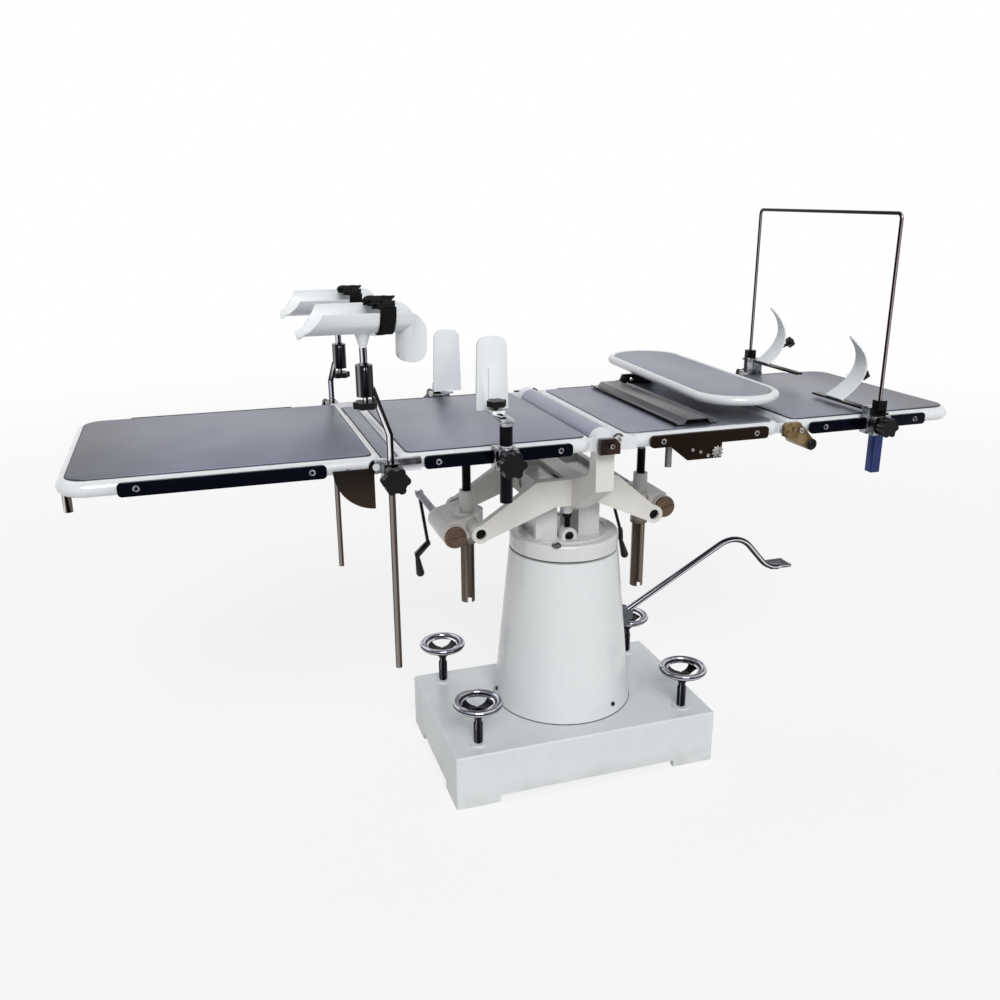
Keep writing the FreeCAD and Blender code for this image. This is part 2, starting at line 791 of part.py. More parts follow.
def pedal_bracket():
    px = pedal_pivot_x()
    y = pedal_slot() + 3
    root = cover_radius(pedal_z - 45) - 2
    side = slab_xz([(root - 8, pedal_z - 45), (px, pedal_z - 16), (px + 15, pedal_z - 8), (px + 15, pedal_z + 10),
                    (px - 4, pedal_z + 16), (root - 8, pedal_z + 32)], y - bracket_wall / 2, y + bracket_wall)
    ears = both_sides(side)
    pin = rod((px, -y - bracket_wall - 2, pedal_z), (px, y + bracket_wall + 2, pedal_z), pedal_pin_r)
    outer = Part.makeCone(cover_bottom_r + gap, cover_top_r + gap, cover_top_z - base_high, Vector(0, 0, base_high))
    trimmed = [ear.cut(outer) for ear in ears]
    tie = box(px - 14, px + 12, -y - 1, y + 1, pedal_z - 30, pedal_z - 24)
    tie_low = tie.cut(outer)
    return join(trimmed[0], trimmed[1], pin, tie_low)


def pump_body():
    half = pump_wide / 2
    body = box(pump_x - half + 12, pump_x + half - 8, -half, half, base_high, pump_top_z)
    neck = rod((pump_x, 0, pump_top_z - 5), (pump_x, 0, pump_top_z + 8), plunger_r + 6)
    body = join(body, neck)
    return body.cut(rod((pump_x, 0, pump_top_z - 70), (pump_x, 0, pump_top_z + 10), plunger_r + run))


def pump_plunger():
    top = pedal_z - 8 - 2 * gap
    return rod((pump_x, 0, pump_top_z - 40), (pump_x, 0, top), plunger_r)


# Handwheel with its threaded stem, and the levelling foot that it drives
def handwheel(cx, cy):
    ring_r = rim_outer_r - rim_tube_r
    rim = Part.makeTorus(ring_r, rim_tube_r, Vector(cx, cy, rim_z))
    hub_z = rim_z - hub_drop
    hub = rod((cx, cy, hub_z - 14), (cx, cy, hub_z + 6), hub_r)
    stem = rod((cx, cy, stem_bottom), (cx, cy, hub_z - 10), stem_r)
    collar_low = base_high + 5 + gap
    collar = rod((cx, cy, collar_low), (cx, cy, hub_z - 12), stem_r + 4)
    spokes = []
    for i in range(spoke_count):
        a = 2 * math.pi * i / spoke_count + 0.5
        inner = (cx + 8 * math.cos(a), cy + 8 * math.sin(a), hub_z - 2)
        outer = (cx + ring_r * math.cos(a), cy + ring_r * math.sin(a), rim_z)
        spokes.append(rod(inner, outer, spoke_r))
    return join(rim, hub, stem, collar, *spokes)


def levelling_foot(cx, cy):
    body = rod((cx, cy, foot_lift + 6), (cx, cy, foot_top), foot_r)
    body = body.cut(rod((cx, cy, stem_bottom - 16), (cx, cy, foot_top + 1), stem_r + gap))
    pad = rod((cx, cy, foot_lift), (cx, cy, foot_lift + 6), foot_r)
    return [body, pad]


# Seat section with the main hinge ears, the leg hinge ears and the jack's ears
def hinge_ear(x_from, x_to, y, r, thick=main_ear_thick):
    bar = box(min(x_from, x_to), max(x_from, x_to), y, y + thick, tube_z - r, tube_z + r)
    return join(bar, rod((x_to, y, tube_z), (x_to, y + thick, tube_z), r))


def seat_frame():
    x1 = hinge_x - hinge_half
    pieces = tube_frame(seat_end_x, x1, inner_corner_r, inner_corner_r)
    pieces += rail_spacers(seat_rail)
    pieces += [cross_bar(left_screw_x), cross_bar((left_screw_x + x1) / 2 + 20)] + jack_ears(left_screw_x)
    pieces += both_sides(hinge_ear(x1 - 18, hinge_x, seat_ear_y, main_ear_r))
    pieces += both_sides(box(seat_end_x + 2, seat_end_x + 26, tube_y + 4, leg_ear_y + 1, tube_z - 12, tube_z + 12))
    pieces += both_sides(hinge_ear(seat_end_x + 26, leg_hinge_x, leg_ear_y, main_ear_r, leg_ear_thick))
    for y in (-150, 0, 150):
        pieces.append(box(leg_hinge_x + tube_r + 7, seat_end_x - 5, y - 15, y + 15, link_low - cross_bar_thick, link_low))
    body = join(*pieces)
    for s in (-1, 1):
        body = body.cut(rod((hinge_x, s * 200, tube_z), (hinge_x, s * 300, tube_z), main_pin_r + run))
        body = body.cut(rod((leg_hinge_x, s * 200, tube_z), (leg_hinge_x, s * 300, tube_z), leg_stub_r + run))
    return body


def seat_panel():
    main = panel(seat_end_x, hinge_x - hinge_half, inner_corner_r, inner_corner_r)
    narrow = sheet(leg_hinge_x + tube_r + 2, seat_end_x - tube_r - 1, tube_y - 6, link_low, link_top, 2, 2)
    return [main, narrow]


def seat_rails():
    return both_sides(rail_bar(seat_rail))


# Leg section: its pivot stubs carry the locking quadrants
def leg_frame():
    pieces = tube_frame(leg_end_x, leg_hinge_x, end_corner_r, inner_corner_r)
    pieces += rail_spacers(leg_rail)
    for x in (-880, -690):
        pieces.append(cross_bar(x))
    stub_end = quadrant_y + quadrant_thick + 2 * gap
    pieces += both_sides(rod((leg_hinge_x, tube_y - inner_corner_r - 4, tube_z), (leg_hinge_x, leg_ear_y - gap, tube_z), 12))
    pieces += both_sides(rod((leg_hinge_x, tube_y, tube_z), (leg_hinge_x, stub_end, tube_z), leg_stub_r))
    peg_y = tube_y - peg_inset
    peg_x = leg_end_x + peg_in
    pieces += both_sides(rod((peg_x, peg_y, peg_bottom), (peg_x, peg_y, tube_z), peg_r))
    return join(*pieces)


def leg_quadrants():
    y0, y1 = quadrant_y, quadrant_y + quadrant_thick
    disc = rod((leg_hinge_x, y0, tube_z), (leg_hinge_x, y1, tube_z), quadrant_r)
    above = box(leg_hinge_x - 200, leg_hinge_x + 200, y0 - 1, y1 + 1, tube_z - 2, tube_z + 200)
    beyond = box(leg_hinge_x - 4, leg_hinge_x + 200, y0 - 1, y1 + 1, tube_z - 200, tube_z)
    disc = disc.cut(above).cut(beyond)
    hub = rod((leg_hinge_x, y0, tube_z), (leg_hinge_x, y1, tube_z), 14)
    plate = join(disc, hub).cut(rod((leg_hinge_x, y0 - 1, tube_z), (leg_hinge_x, y1 + 1, tube_z), leg_stub_r))
    spacer = rod((leg_hinge_x - 52, table_half, tube_z - 8), (leg_hinge_x - 52, y0, tube_z - 8), 6)
    tube_side = rod((leg_hinge_x - 80, tube_y, tube_z), (leg_hinge_x - 20, tube_y, tube_z), tube_r)
    spacer = rod((leg_hinge_x - 52, tube_y, tube_z - 8), (leg_hinge_x - 52, y0 + 1, tube_z - 8), 6).cut(tube_side)
    outer = [s for s in spacer.Solids if s.CenterOfMass.y > tube_y][0]
    return both_sides(join(plate, outer))


# Back section with its kidney bridge
def back_frame():
    x0 = hinge_x + hinge_half
    x1 = head_hinge_x - head_hinge_half
    pieces = tube_frame(x0, x1, inner_corner_r, inner_corner_r)
    pieces += rail_spacers(back_rail)
    pieces += [cross_bar(right_screw_x - 80), cross_bar(x1 - 60)] + jack_ears(right_screw_x)
    pieces.append(cross_bar(bridge_x - 12, 2 * bridge_half_wide - 28))
    pieces += both_sides(hinge_ear(x0 + 18, hinge_x, back_ear_y, main_ear_r))
    pieces += both_sides(hinge_ear(x1 - 18, head_hinge_x, seat_ear_y, head_ear_r))
    for s in (-1, 1):
        y = s * bridge_post_y
        pieces.append(rod((bridge_post_x, y, sleeve_low), (bridge_post_x, y, panel_low), bridge_post_r + sleeve_wall))
    body = join(*pieces)
    for s in (-1, 1):
        y = s * bridge_post_y
        body = body.cut(rod((bridge_post_x, y, sleeve_low - 1), (bridge_post_x, y, table_top), bridge_post_r + gap))
        body = body.cut(rod((pinion_x(), y - pinion_wide / 2 - 2, spindle_z), (pinion_x(), y + pinion_wide / 2 + 2, spindle_z),
                            pinion_r + 1))
        body = body.cut(rod((hinge_x, s * 200, tube_z), (hinge_x, s * 300, tube_z), main_pin_r + run))
        body = body.cut(rod((head_hinge_x, s * 200, tube_z), (head_hinge_x, s * 300, tube_z), head_pin_r + run))
    return body


def pinion_x():
    return bridge_post_x + bridge_post_r + pinion_r + gap


def back_panel():
    plate = panel(hinge_x + hinge_half, head_hinge_x - head_hinge_half, inner_corner_r, inner_corner_r)
    for s in (-1, 1):
        y = s * bridge_post_y
        plate = plate.cut(rod((bridge_post_x, y, panel_low - 1), (bridge_post_x, y, panel_top + 1), bridge_post_r + 1))
    return plate


def back_rails():
    bar = rail_bar(back_rail)
    outline = [(gear_plate_left, rail_low + 4), (gear_plate_left + gear_plate_slope, gear_plate_low),
               (gear_plate_right, gear_plate_low), (gear_plate_right, rail_low + 4)]
    near = mirror_y(join(bar, slab_xz(outline, rail_inner, rail_outer)))
    near = near.cut(rod((pinion_x(), -rail_outer - 2, spindle_z), (pinion_x(), -rail_inner + 2, spindle_z), spindle_r + run))
    return [bar, near]


def kidney_bridge():
    low = panel_top + bridge_clear
    high = low + bridge_rise
    w, h, t = bridge_half_wide, bridge_hat_half, bridge_plate
    outline = [(-w, low + 4), (-w + 5, low), (-h - 8, low), (-h, high), (h, high), (h + 8, low), (w - 5, low),
               (w, low + 4)]
    upper = [(x, z + t) for x, z in reversed(outline)]
    points = [(bridge_x + x, z) for x, z in outline + upper]
    plate = slab_xz(points, -bridge_half_long, bridge_half_long)
    posts = [rod((bridge_post_x, s * bridge_post_y, bridge_post_bottom), (bridge_post_x, s * bridge_post_y, high + 1), bridge_post_r)
             for s in (-1, 1)]
    return join(plate, *posts)


def kidney_spindle():
    shaft = rod((pinion_x(), -rail_outer - 6, spindle_z), (pinion_x(), bridge_post_y + pinion_wide, spindle_z), spindle_r)
    pinions = [rod((pinion_x(), s * bridge_post_y - pinion_wide / 2, spindle_z),
                   (pinion_x(), s * bridge_post_y + pinion_wide / 2, spindle_z), pinion_r) for s in (-1, 1)]
    socket = box(pinion_x() - 3, pinion_x() + 3, -rail_outer - 7, -rail_outer + 6, spindle_z - 3, spindle_z + 3)
    return join(shaft, *pinions).cut(socket)


# Head section and its friction hinge
def head_frame():
    x0 = head_hinge_x + head_hinge_half
    pieces = tube_frame(x0, head_end_x, inner_corner_r, end_corner_r)
    pieces += rail_spacers(head_rail)
    pieces += [cross_bar(x0 + 120), cross_bar(head_end_x - 130)]
    pieces += both_sides(hinge_ear(x0 + 18, head_hinge_x, back_ear_y, head_ear_r))
    body = join(*pieces)
    for s in (-1, 1):
        body = body.cut(rod((head_hinge_x, s * 200, tube_z), (head_hinge_x, s * 300, tube_z), head_pin_r + run))
    return body


def head_hinge_blocks():
    x = head_hinge_x
    pin = rod((x, post_outer_y, tube_z), (x, block_y + 2, tube_z), head_pin_r)
    lock = (x + 56, tube_z - 36)
    plate = slab_xz([(x - 13, tube_z + 8), (x - 6, tube_z + 15), (x + 24, tube_z + 15), (x + 31, tube_z + 8),
                     (lock[0] + 8, lock[1] + 8), (lock[0], lock[1] - 12), (x - 13, tube_z - 14)],
                    block_y, block_y + block_thick)
    barrel = rod((lock[0], 196, lock[1]), (lock[0], block_y + block_thick + 4, lock[1]), 13)
    bolt = rod((x + 12, block_y + block_thick - 1, tube_z), (x + 12, block_y + block_thick + 4, tube_z), 6)
    return both_sides(join(pin, plate, barrel, bolt))


# Leg holder: socket with its knob, cranked pole with a clamp barrel, and the crutch
def leg_holder_socket(x):
    y0 = holder_plate_y
    z0, z1 = tube_z - 12 - holder_socket_high / 2, tube_z - 12 + holder_socket_high / 2
    side_x = seat_end_x + 8
    plate = box(x - 6, side_x + 16, y0, y0 + 5, tube_z + 1, tube_z + 13)
    spacer = box(side_x, side_x + 16, leg_ear_y + leg_ear_thick, y0 + 1, tube_z + 1, tube_z + 13)
    block = box(x - holder_socket_half, x + holder_socket_half, y0, holder_y + 16, z0, z1 + 2)
    body = join(plate, spacer, block)
    body = body.cut(rod((x, holder_y, z0 - 1), (x, holder_y, z1 + 5), holder_pole_r + gap))
    mid = (z0 + z1) / 2
    stud = rod((x, holder_y + holder_pole_r + 2 * gap, mid), (x, holder_y + 30, mid), 5)
    body = body.cut(rod((x, holder_y, mid), (x, holder_y + 20, mid), 5 + screw_play))
    knob = join(stud, lobed_knob((x, holder_y + 26, mid), (0, 1, 0), holder_knob_r, 24))
    return [body, knob]


def leg_pole(x, bend_z, barrel_x, barrel_z):
    low = rod((x, holder_y, holder_pole_bottom), (x, holder_y, bend_z), holder_pole_r)
    knee = Part.makeSphere(holder_pole_r, Vector(x, holder_y, bend_z))
    side = 1 if x > barrel_x else -1
    top = (barrel_x + side * (barrel_r - 4), holder_y, barrel_z + 14)
    upper = rod((x, holder_y, bend_z), top, holder_pole_r)
    barrel = rod((barrel_x, holder_y, barrel_z), (barrel_x, holder_y, barrel_z + barrel_high), barrel_r)
    stud = rod((barrel_x, holder_y, barrel_z - 14), (barrel_x, holder_y, barrel_z + 1), 5)
    metal = join(low, knee, upper, barrel)
    ball_z = barrel_z + barrel_high - ball_drop
    metal = metal.cut(Part.makeSphere(neck_r + 5 + gap, Vector(barrel_x, holder_y, ball_z)))
    metal = metal.cut(rod((barrel_x, holder_y - barrel_r - 1, ball_z), (barrel_x, holder_y + barrel_r + 1, ball_z),
                          ball_pin_r + run))
    knob = join(stud, lobed_knob((barrel_x, holder_y, barrel_z - 22), (0, 0, 1), holder_knob_r - 4, 12))
    return [metal.cut(stud), knob]


def leg_crutch(barrel_x, barrel_z, neck_high, roll, pad_left):
    # Pinned ball and neck, and a trough that turns down behind the knee
    y = holder_y
    ball_z = barrel_z + barrel_high - ball_drop
    under = ball_z + neck_high
    axis_z = under + pad_r
    pin = rod((barrel_x, y - barrel_r + 1, ball_z), (barrel_x, y + barrel_r - 1, ball_z), ball_pin_r)
    ball = Part.makeSphere(neck_r + 5, Vector(barrel_x, y, ball_z))
    neck = rod((barrel_x, y, ball_z), (barrel_x, y, under - 10), neck_r)
    cup = rod((barrel_x, y, under - 20), (barrel_x, y, under + 3), neck_r + 1, 2 * neck_r + 1)
    trough = pad_trough(barrel_x - pad_left, barrel_x + pad_back, axis_z)
    band = strap(barrel_x + strap_in, axis_z)
    for solid in (trough, band):
        solid.rotate(Vector(0, y, axis_z), Vector(1, 0, 0), roll)
    return [join(trough, cup, neck, ball, pin), band]


def pad_trough(x0, back, axis_z):
    # Two half pipes in a mitre, trimmed to rounded outlines, open at the top and behind the knee
    y, r = holder_y, pad_r
    under = axis_z - r
    lip_z, lip_x = axis_z - pad_lip, back + r - pad_lip
    low = under - pad_tail
    corner, beyond = (back - 90, under - 90), (back + 120, under + 120)
    left_side = slab_xz([(x0 - 30, under - 90), corner, beyond, (x0 - 30, under + 120)], y - 90, y + 90)
    right_side = slab_xz([corner, (back + 120, under - 90), beyond], y - 90, y + 90)
    floor = pipe((x0, y, axis_z), (back + 2 * r, y, axis_z), r, r - pad_wall).common(left_side)
    tail = pipe((back + r, y, low - 2), (back + r, y, axis_z + r), r, r - pad_wall).common(right_side)
    flare = Part.makeCone(r + pad_flare, r, 10, Vector(x0 - 10, y, axis_z), Vector(1, 0, 0))
    flare = flare.cut(Part.makeCone(r + pad_flare - pad_wall, r - pad_wall, 10, Vector(x0 - 10, y, axis_z),
                                    Vector(1, 0, 0)))
    upper = box(x0 - 12, lip_x, y - 90, y + 90, under - pad_flare - 2, lip_z)
    lower = box(back - 1, lip_x, y - 90, y + 90, low, lip_z)
    upper = round_edges(upper, [(lip_x, lip_z, r - 14)])
    lower = round_edges(lower, [(lip_x, lip_z, r - 14), (lip_x, low, r / 2), (back - 1, low, 8)])
    nose = slab_xz([(x0 - 20, under + 4), (x0 - 6, under + 4), (x0 + 6, under + 12), (x0 + pad_cut - 12, lip_z - 12),
                    (x0 + pad_cut, lip_z + 10), (x0 - 20, lip_z + 10)], y - 90, y + 90)
    return join(floor, tail, flare).common(join(upper, lower)).cut(nose)


def round_edges(block, corners):
    # Rounds the edges along Y that stand at the given x, z, each with its own radius
    for x, z, r in corners:
        edges = [e for e in block.Edges if max(abs(v.X - x) + abs(v.Z - z) for v in e.Vertexes) < 0.1]
        block = block.makeFillet(r, edges)
    return block


def strap(x, axis_z):
    # A band round the trough that arches from lip to lip
    y, low, high = holder_y, pad_r + gap, pad_r + gap + strap_thick
    end = axis_z - pad_lip + 2
    band = pipe((x, y, axis_z), (x + strap_wide, y, axis_z), high, low)
    band = band.cut(box(x - 1, x + strap_wide + 1, y - 90, y + 90, end, axis_z + 90))
    half = (low + high) / 2
    arch_r = (half * half + strap_rise * strap_rise) / (2 * strap_rise)
    mid_z = end + strap_rise - arch_r
    arch = pipe((x, y, mid_z), (x + strap_wide, y, mid_z), arch_r + strap_thick / 2, arch_r - strap_thick / 2)
    arch = arch.common(box(x - 1, x + strap_wide + 1, y - high, y + high, end - 1, axis_z + 90))
    return join(band, arch)


# Side support: rail clamp, post, slotted arm, paddle and two knobs
def side_support(x, support_arm_z):
    clamp = rail_clamp(x, 44)
    post_y = support_post_y
    body = box(x - 20, x + 20, rail_outer + clamp_front - 1, post_y + 18, rail_low - clamp_over, rail_up + clamp_over)
    clamp = join(clamp, body).cut(rod((x, post_y, 700), (x, post_y, 900), support_post_r + screw_play))
    stud = rod((x, post_y + support_post_r + gap, tube_z), (x, post_y + 30, tube_z), 5)
    clamp = clamp.cut(rod((x, post_y, tube_z), (x, post_y + 30, tube_z), 5 + screw_play))
    knob = join(stud, lobed_knob((x, post_y + 26, tube_z - 4), (0, 1, 0), 28, 22))
    post = rod((x, post_y, support_post_low), (x, post_y, support_arm_z), support_post_r)
    half = support_arm_wide / 2
    inner_y = paddle_y - 4
    arm = box(x - half, x + half, inner_y, post_y + half, support_arm_z, support_arm_z + support_arm_thick)
    arm = arm.cut(box(x - 5, x + 5, inner_y + 26, post_y - 24, support_arm_z - 1, support_arm_z + 10))
    foot_y = paddle_y + paddle_thick
    top = support_arm_z + support_arm_thick
    foot = box(x - half, x + half, paddle_y, foot_y + 42, top, top + 5)
    foot = foot.cut(rod((x, foot_y + 26, top - 1), (x, foot_y + 26, top + 8), 4 + screw_play))
    half, high = paddle_wide / 2, top + paddle_tall
    blade = slab_xz([(x - half - paddle_spread, top), (x + half + paddle_spread, top), (x + half, high),
                     (x - half, high)], paddle_y, foot_y)
    blade = round_edges(blade, [(x - half, high, half / 1.6), (x + half, high, half / 1.6)])
    rib = box(x - 9, x + 9, foot_y - 1, foot_y + 7, top, high - 62)
    blade = join(blade, foot, rib)
    thumb = lobed_knob((x, foot_y + 26, top + 12), (0, 0, 1), 20, 12)
    thumb = join(thumb, rod((x, foot_y + 26, support_arm_z - 4), (x, foot_y + 26, top + 13), 4))
    return [clamp, post, arm, blade, knob, thumb]


# Head clamps with their posts, the screen rod and the shoulder supports
def head_clamp(x, bar_z):
    clamp = rail_clamp(x, 46)
    post_y, half = clamp_post_y, clamp_post_half
    front = box(x - 21, x + 21, rail_outer + clamp_front - 1, post_y + half + 5,
                rail_low - clamp_over, rail_up + clamp_over)
    seat = box(x - half - screw_play, x + half + screw_play, post_y - half - screw_play,
               post_y + half + screw_play, 700, 900)
    clamp = join(clamp, front).cut(seat)
    wide = shoulder_bar_wide / 2
    guide = box(x - wide - 6, x + wide + 6, table_half - 8, post_y - half - gap, rail_up + clamp_over - 1, bar_z + 11)
    slot = box(x - wide - gap, x + wide + gap, 0, post_y + 40, bar_z - gap, bar_z + shoulder_bar_thick + gap)
    clamp = join(clamp, guide).cut(slot)
    stud_y = post_y + half + gap
    clamp = clamp.cut(rod((x, post_y, tube_z), (x, post_y + 30, tube_z), 5 + screw_play))
    knob = join(rod((x, stud_y, tube_z), (x, stud_y + 14, tube_z), 5),
                lobed_knob((x, stud_y + 10, tube_z), (0, 1, 0), clamp_knob_r, 22))
    top = bar_z + clamp_post_over
    post = box(x - half, x + half, post_y - half, post_y + half, clamp_post_low, top)
    post = post.cut(rod((x, post_y, screen_low(bar_z) - 1), (x, post_y, top + 1), screen_rod_r + screw_play))
    return [clamp, knob, post.cut(slot)]


def screen_low(bar_z):
    return bar_z + shoulder_bar_thick + 3


def screen_frame():
    near, far = (near_clamp_x, -clamp_post_y), (far_clamp_x, clamp_post_y)
    points = [near + (screen_low(near_bar_z),), near + (screen_top_z,), far + (screen_top_z,),
              far + (screen_low(far_bar_z),)]
    return bent_rod(points, screen_bend_r, screen_rod_r)


def shoulder_support(x, y, z0):
    # A curved pad on a flat bar that runs through the clamp's guide
    wide = shoulder_bar_wide / 2
    bar = box(x - wide, x + wide, shoulder_bar_in, clamp_post_y + 22, z0, z0 + shoulder_bar_thick)
    y0, y1 = y - shoulder_half_wide, y + shoulder_half_wide
    base = Vector(x - 8, y0, z0 + shoulder_bar_thick)
    tip = Vector(x + shoulder_tip, y0, base.z + shoulder_high)
    belly = Vector(x + shoulder_sag, y0, base.z + shoulder_high * 0.45)
    back = shoulder_thick
    outer = Part.Arc(base, belly, tip).toShape()
    inner = Part.Arc(tip - Vector(0, 0, back / 2), belly - Vector(back, 0, 0), base - Vector(back, 0, 0)).toShape()
    outline = Part.Wire([outer, Part.makeLine(tip, tip - Vector(0, 0, back / 2)), inner,
                         Part.makeLine(base - Vector(back, 0, 0), base)])
    shell = Part.Face(outline).extrude(Vector(0, y1 - y0, 0))
    foot = box(x - 14, x + wide, y0 + 10, y1 - 10, z0 + shoulder_bar_thick - 1, z0 + shoulder_bar_thick + 4)
    stud = rod((x + 30, y, base.z + 30), (x + 56, y, base.z + 44), 3)
    knob = lobed_knob((x + 56, y, base.z + 44), (26, 0, 14), 11, 9)
    return join(bar, shell, foot, stud, knob)


# Arm board: a padded-width steel top in a bent tube rim, turning on its bracket
def arm_board():
    mid = board_wide / 2
    straight = board_long / 2 - mid
    rim_z0 = board_z - board_rim_r + 1
    rim_half = mid + board_rim_r - 4
    inner = [box(-mid, mid, -straight, straight, board_z - board_panel_thick, board_z)]
    rim = []
    for s in (-1, 1):
        inner.append(rod((0, s * straight, board_z - board_panel_thick), (0, s * straight, board_z), mid))
        rim.append(rod((s * rim_half, -straight, rim_z0), (s * rim_half, straight, rim_z0), board_rim_r))
    rim.append(bend((0, straight, rim_z0), rim_half, 0, 180, board_rim_r))
    rim.append(bend((0, -straight, rim_z0), rim_half, 180, 180, board_rim_r))
    top = join(*inner)
    tube = join(*rim)
    top = top.cut(tube)
    solids = []
    for solid in (top, tube):
        solid.rotate(Vector(0, 0, 0), Vector(0, 0, 1), board_turn)
        solid.translate(Vector(board_mid_x, board_mid_y, 0))
        solids.append(solid)
    hub = rod((board_pivot_x, board_pivot_y, board_hub_z() + gap),
              (board_pivot_x, board_pivot_y, board_z - board_panel_thick + 1), board_hub_r)
    solids[0] = join(solids[0], hub)
    bore = rod((board_pivot_x, board_pivot_y, 800), (board_pivot_x, board_pivot_y, board_z - 6), 8 + run)
    solids[0] = solids[0].cut(bore)
    return solids


def board_hub_z():
    return board_z - 26


def arm_board_bracket():
    x0 = board_bracket_x
    clamp = rail_clamp(x0 + board_bracket_long / 2, board_bracket_long)
    top = rail_up + clamp_over
    table = box(board_pivot_x - 20, board_pivot_x + 20, rail_inner, board_pivot_y, top - 10, board_hub_z() - 4)
    hub = rod((board_pivot_x, board_pivot_y, rail_low), (board_pivot_x, board_pivot_y, board_hub_z()), 20)
    spur = slab_xz([(x0 + 6, top - 1), (x0 + 14, top + 16), (x0 + 60, top + 16), (x0 + 70, top - 1)],
                   rail_inner + 2, rail_outer + 6)
    pin = rod((board_pivot_x, board_pivot_y, board_hub_z() - 5), (board_pivot_x, board_pivot_y, board_z - 8), 8)
    channel = box(x0 - 10, x0 + 110, rail_inner - gap, rail_outer + gap, rail_low - gap, rail_up + gap)
    return join(clamp, table, hub, spur, pin).cut(channel)


save("base_plinth", base_plinth())
save("column_cover", column_cover())
save("cover_screws", *[cover_screw(a) for a in screw_angles()])
save("hydraulic_cylinder", *hydraulic_cylinder())
save("pump_body", pump_body())
save("pedal_bracket", pedal_bracket())
save("foot_pedal", foot_pedal())
save("pump_plunger", pump_plunger())
for place, (cx, cy) in zip(("near_left", "near_right", "far_left", "far_right"), wheel_places()):
    save("handwheel_" + place, handwheel(cx, cy))
    save("levelling_foot_" + place, *levelling_foot(cx, cy))
save("lift_ram", lift_ram())
save("column_cap", column_cap())
save("tilt_axle", tilt_axle())
save("tilt_strut", tilt_strut())
save("saddle_casting", saddle_casting())
save("hinge_blocks", *hinge_blocks())
save("gap_cover", gap_cover())
save("left_jack_housing", *jack_housing(left_trunnion, left_screw_x, left_worm, left_tube_bottom))
save("left_jack_screw", jack_screw(left_screw_x, left_screw_low))
save("left_crank_shaft", crank_shaft(left_worm, left_crank_lean))
save("left_crank", *crank(left_worm, left_crank_lean, left_crank_throw, left_crank_rod))
save("right_jack_housing", *jack_housing(right_trunnion, right_screw_x, right_worm, right_tube_bottom))
save("right_jack_screw", jack_screw(right_screw_x, right_screw_low))
save("right_crank_shaft", crank_shaft(right_worm, right_crank_lean))
save("right_crank", *crank(right_worm, right_crank_lean, right_crank_throw, right_crank_rod))
save("seat_frame", seat_frame())
save("seat_panel", *seat_panel())
save("seat_rails", *seat_rails())
save("leg_holder_sockets", *leg_holder_socket(far_holder_x), *[mirror_y(s) for s in leg_holder_socket(near_holder_x)])
save("leg_frame", leg_frame())
save("leg_panel", panel(leg_end_x, leg_hinge_x, end_corner_r, inner_corner_r))
save("leg_rails", *both_sides(rail_bar(leg_rail)))
save("leg_quadrants", *leg_quadrants())
save("back_frame", back_frame())
save("back_panel", back_panel())
save("back_rails", *back_rails())
save("kidney_bridge", kidney_bridge())
save("kidney_spindle", kidney_spindle())
save("head_frame", head_frame())
save("head_panel", panel(head_hinge_x + head_hinge_half, head_end_x, inner_corner_r, end_corner_r))
save("head_rails", *both_sides(rail_bar(head_rail)))
save("head_hinge_blocks", *head_hinge_blocks())
save("arm_board", *arm_board())
save("arm_board_bracket", arm_board_bracket())
save("head_clamps", *head_clamp(far_clamp_x, far_bar_z),
     *[mirror_y(s) for s in head_clamp(near_clamp_x, near_bar_z)])
save("screen_frame", screen_frame())
save("shoulder_support_near", mirror_y(shoulder_support(near_clamp_x, near_shoulder_y, near_bar_z)))
save("shoulder_support_far", shoulder_support(far_clamp_x, far_shoulder_y, far_bar_z))
save("side_support_near", *[mirror_y(s) for s in side_support(near_support_x, near_arm_z)])
save("side_support_far", *side_support(far_support_x, far_arm_z))
save("leg_pole_near", *[mirror_y(s) for s in leg_pole(near_holder_x, near_bend_z, near_barrel_x, near_barrel_z)])
save("leg_pole_far", *leg_pole(far_holder_x, far_bend_z, far_barrel_x, far_barrel_z))
save("leg_crutch_near", *[mirror_y(s) for s in leg_crutch(near_barrel_x, near_barrel_z, near_neck, near_roll,
                                                       near_pad_left)])
save("leg_crutch_far", *leg_crutch(far_barrel_x, far_barrel_z, far_neck, far_roll, far_pad_left))
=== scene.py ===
import bpy, bmesh
from math import cos, hypot, pi, radians, sin, tau
from mathutils import Matrix, Vector


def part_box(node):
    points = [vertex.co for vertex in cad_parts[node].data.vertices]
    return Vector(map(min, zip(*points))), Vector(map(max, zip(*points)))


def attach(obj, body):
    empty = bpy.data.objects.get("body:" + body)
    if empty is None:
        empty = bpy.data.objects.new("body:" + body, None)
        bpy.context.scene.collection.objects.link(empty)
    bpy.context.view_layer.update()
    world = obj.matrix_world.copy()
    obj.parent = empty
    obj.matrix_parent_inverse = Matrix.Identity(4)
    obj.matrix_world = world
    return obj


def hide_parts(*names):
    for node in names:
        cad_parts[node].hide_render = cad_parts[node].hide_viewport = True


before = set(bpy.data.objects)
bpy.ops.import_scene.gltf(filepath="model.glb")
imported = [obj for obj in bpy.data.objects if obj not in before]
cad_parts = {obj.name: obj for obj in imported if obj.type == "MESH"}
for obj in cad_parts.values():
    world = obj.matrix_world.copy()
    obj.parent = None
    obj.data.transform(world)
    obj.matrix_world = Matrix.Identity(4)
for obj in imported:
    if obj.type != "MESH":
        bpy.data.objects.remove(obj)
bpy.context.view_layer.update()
mm = 0.001


